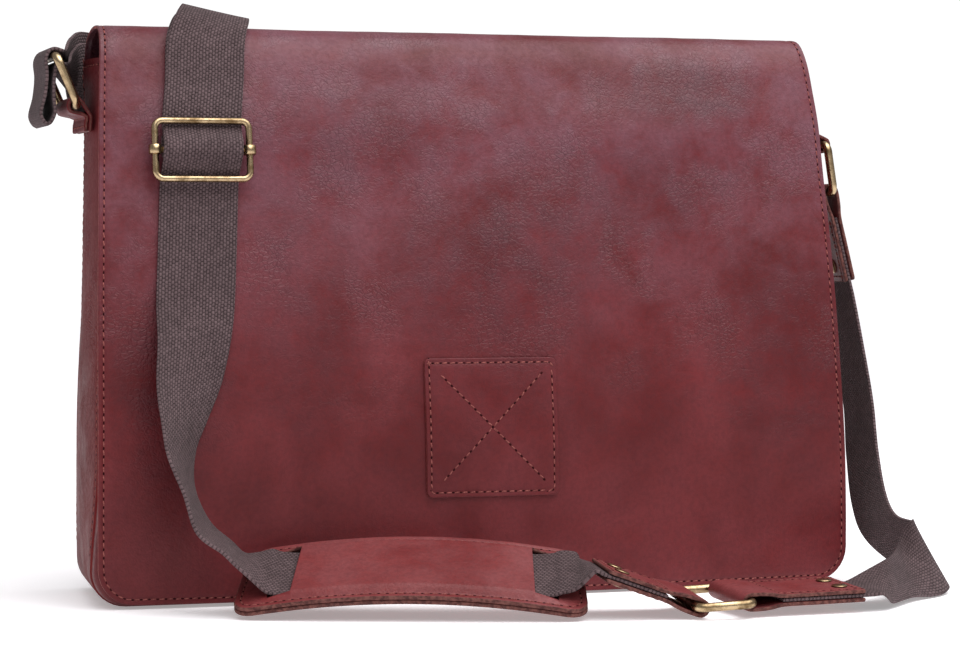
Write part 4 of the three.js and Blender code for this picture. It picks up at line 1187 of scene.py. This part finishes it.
# Rows on the flap: height from the slider's bar, lift off the leather and turn of the left edge
sewnRows = [(8, 1.6, 0), (4, 2.3, 0)]
risingRows = [(4, 8.9, 0), (8.5, 4.8, 0), (14, 1.6, 0), (22, 1.5, 0), (35.5, 1.5, 0)]
frontRows = [
    (35.5, 3.8, 0), (22, 3.8, 0), (14.4, 3.9, 0), (8.5, 7.2, 0), (4, 11.3, 0), (0, 12.5, 0), (-4, 11.3, 0),
    (-8.5, 7, 0), (-14.4, 2.6, 0), (-24, 1.5, 0), (-46.5, 1.5, 0), (-74.5, 1.6, 2), (-93.5, 1.8, 14),
    (-113.5, 1.8, 25), (-132.5, 1.8, 45), (-148.5, 2, 60), (-166.5, 3, 72),
]
innerRows = [  # place and width direction, from the flap's top around the back corner to the left ring
    ((-139, -18.5, 283), (1, 0, 0)), ((-135.5, -10.5, 292.8), (0.98, 0.15, -0.05)),
    ((-130, 6, 296.2), (0.95, 0.28, -0.12)), ((-126, 25.5, 294), (0.95, 0.25, -0.14)),
    ((-124, 42.5, 283), (0.92, 0.22, -0.32)), ((-135, 49.5, 267), (0.7, 0.1, -0.7)),
    ((-160, 51.5, 262), (0.3, 0, -0.95)), ((-186.5, 51, 266), (0.1, 0.2, -0.97)),
    ((-197, 39.5, 266), (0.1, 0.7, -0.7)), ((-202, 25.5, 267.5), (0.1, 0.95, -0.3)),
    ((-207.5, 16, 270.5), (0, 1, -0.05)),
]
loopRows = [  # slack loop on the left ring: under the free bar, down, up again outside and over the bar
    (-211.6, 271.8), (-213.4, 264), (-213.6, 254), (-213.2, 246.5), (-216.6, 241), (-220.2, 246),
    (-218, 256), (-217, 266), (-217.6, 273.5), (-216, 277.7), (-213, 279.1),
]
outerRows = [  # from the loop back around the corner and over the first layer
    ((-208.5, 15, 278), (0, 1, 0)), ((-203.5, 27, 273.5), (0.1, 0.95, -0.3)),
    ((-197.5, 42, 273), (0.1, 0.7, -0.7)), ((-186, 54.5, 272), (0.1, 0.15, -0.98)),
    ((-164, 57, 270), (0.25, 0, -0.97)), ((-137, 55.5, 273), (0.7, 0.1, -0.7)),
    ((-124.5, 45, 286.5), (0.92, 0.22, -0.32)), ((-126, 27, 297.4), (0.94, 0.26, -0.16)),
    ((-128.5, 6, 299.7), (0.93, 0.3, -0.16)), ((-133.8, -12.5, 295.2), (0.98, 0.16, -0.07)),
    ((-138.8, -21.2, 283.5), (1, 0, 0)),
]
toPadRows = [((-153, -80, 42.5), (0.34, 0.94, 0.04)), ((-142.5, -86, 33), (0.31, 0.95, 0.03))]
slitRows = [(-8, 8), (-4, 5.8), (4, 3.7), (8, 3.5)]  # distance past the slit, lift over the pad's underside
padStart = [(0, 17, 23), (7, 12, 13)]  # distance past the pad's left end, lift and turn towards the level
padEnd = [(-4, 10.2, 5)]  # the same from the right end
underFace = {"lift": 3.45, "shares": (0.28, 0.39, 0.5, 0.61, 0.72)}
inFolds = {  # places inside the folded ends, as distances from the ring's bar
    "connector_left": (52, 47, 30, 14), "connector_right": (14, 36, 62, 69), "hanger_tab": (60, 53, 32, 14),
}
shortRows = [  # on its lower edge the short webbing turns back on the floor, then it rises beside the bag
    ((184, -141, 11.5), (0.25, 0.86, 0.42)), ((205, -118, 13.6), (0.1, 0.82, 0.56)),
    ((224, -104, 20), (-0.5, 0.1, 0.86)), ((222, -84, 22), (-0.25, -0.6, 0.75)),
    ((217, -60, 30), (0, -0.9, 0.42)), ((219, -40, 43), (0.03, -0.96, 0.28)),
    ((224, -20, 67), (0, -0.99, 0.14)), ((226.4, -9, 94.5), (-0.03, -1, 0.08)),
    ((225.5, 4, 128), (0, -1, 0)),
]
strapLine = reading(strapRows["height"], strapRows["x"])


def onFlap(above, lift, turn=0):
    z = slider["z"] + above
    place, normal = flapFront(strapLine(np.array(z)), z)
    angle = math.radians(turn)
    forward = strap["wide"] / 2 * math.sin(angle)
    return station(place + normal * lift - (0, forward, 0), (math.cos(angle), math.sin(angle), 0))


def aroundBar(degrees, radius):  # places on a circle, as two distances from its middle
    angles = np.radians(degrees)
    return zip(radius * np.cos(angles), radius * np.sin(angles))


def faceOver(stations):  # the same stations with the width direction turned round
    return [row * (1, 1, 1, -1, -1, -1) for row in stations]


def onPad(along, lift, level=0):
    angle = -math.radians(level)
    across = padAcross * math.cos(angle) + np.cross(padAlong, padAcross) * math.sin(angle)
    return station(padAt(along, 0.0, lift), across)


def inFold(node):
    d, w = foldAxes(folds[node])[:2]
    return [station(folds[node]["bar"] + d * run, w) for run in inFolds[node]]


def longStations():
    wrap = slider["bar"] + slider["gap"] + strap["web"] / 2
    barTurn = [onFlap(a, slider["barLift"] + b) for a, b in aroundBar([-90, -135, 180, 135, 90], wrap)]
    rows = [onFlap(*row) for row in sewnRows] + barTurn + [onFlap(*row) for row in risingRows]
    rows += [station(*row) for row in innerRows]
    rows += [station((x, leftFreeBar[1], z), toDepth) for x, z in loopRows]
    rows += [station(*row) for row in outerRows] + [onFlap(*row) for row in frontRows]
    rows += [station(*row) for row in toPadRows] + [onPad(*row) for row in padStart]
    rows += [onPad(slits[0] + past, lift) for past, lift in slitRows]
    rows += [onPad(share * padLong, underFace["lift"]) for share in underFace["shares"]]
    rows += [onPad(slits[1] - past, lift) for past, lift in slitRows[::-1]]
    rows += [onPad(padLong + past, lift, level) for past, lift, level in padEnd]
    return rows + inFold("connector_left")


def shortStations():
    rise = [station(*row) for row in shortRows]
    return inFold("connector_right") + rise + faceOver(inFold("hanger_tab"))


def makeWeb(name, node, stations):
    skin, long = bandSkin(stations, strap["web"])
    band = makeBand(name, node, skin, long, strap["wide"], strap["web"], [webbing], 1.3,
                    rounding=strap["webRounding"])
    long * mm
    print(name, "is", round(long), "mm long")


makeWeb("long_webbing", "strap_webbing_long", longStations())
makeWeb("short_webbing", "strap_webbing_short", shortStations())
for shape in shapes:
    bpy.data.objects.remove(shape)
print("strap made")


# Floor, light and view
studio = {
    "floor": 12.0, "glow": 0.3, "world": 0.36, "backdrop": 1.05, "sun": 1.75, "sunAngle": 70.0,
    "sunFrom": (0.25, -0.9, 1.8), "sunTo": (0, 0, 0.1), "box": 14.0, "boxSize": (1.6, 0.9),
    "boxFrom": (0.35, -0.35, 1.25), "boxTo": (0.05, 0, 0.15),
}


def makeFloor():
    half = studio["floor"]
    mesh = bpy.data.meshes.new("floor")
    corners = [(-half, -half, 0), (half, -half, 0), (half, half, 0), (-half, half, 0)]
    mesh.from_pydata(corners, [], [(0, 1, 2, 3)])
    material, tree = newMaterial("pale_floor")
    tree.shade({"Base Color": linear(248, 246, 249), "Roughness": 0.6, "Specular IOR Level": 0.2,
                "Emission Color": (1, 1, 1, 1), "Emission Strength": studio["glow"]})
    mesh.materials.append(material)
    floor = bpy.data.objects.new("floor", mesh)
    bpy.context.scene.collection.objects.link(floor)


def makeLight(name, kind, place, target, energy, settings):
    data = bpy.data.lights.new(name, kind)
    data.energy = energy
    for key, value in settings.items():
        setattr(data, key, value)
    light = bpy.data.objects.new(name, data)
    light.location = place
    light.rotation_euler = (Vector(target) - Vector(place)).to_track_quat("-Z", "Y").to_euler()
    bpy.context.scene.collection.objects.link(light)


def makeWorld():
    world = bpy.data.worlds.new("studio")
    bpy.context.scene.world = world
    world.use_nodes = True
    world.node_tree.nodes.clear()
    tree = Tree(world.node_tree)
    seen = tree.add("ShaderNodeLightPath")
    white = tree.add("ShaderNodeBackground", {}, {0: (1, 1, 1, 1), 1: studio["backdrop"]})
    soft = tree.add("ShaderNodeBackground", {}, {0: (1, 0.98, 0.99, 1), 1: studio["world"]})
    both = tree.add("ShaderNodeMixShader", {}, {0: seen, 1: soft, 2: white})
    tree.add("ShaderNodeOutputWorld", {}, {0: both})


makeFloor()
makeWorld()
soft = {"angle": math.radians(studio["sunAngle"])}
panel = {"shape": "RECTANGLE", "size": studio["boxSize"][0], "size_y": studio["boxSize"][1]}
makeLight("top_sun", "SUN", studio["sunFrom"], studio["sunTo"], studio["sun"], soft)
makeLight("top_box", "AREA", studio["boxFrom"], studio["boxTo"], studio["box"], panel)
bpy.context.scene.view_settings.view_transform = "Standard"
print("floor and light made")
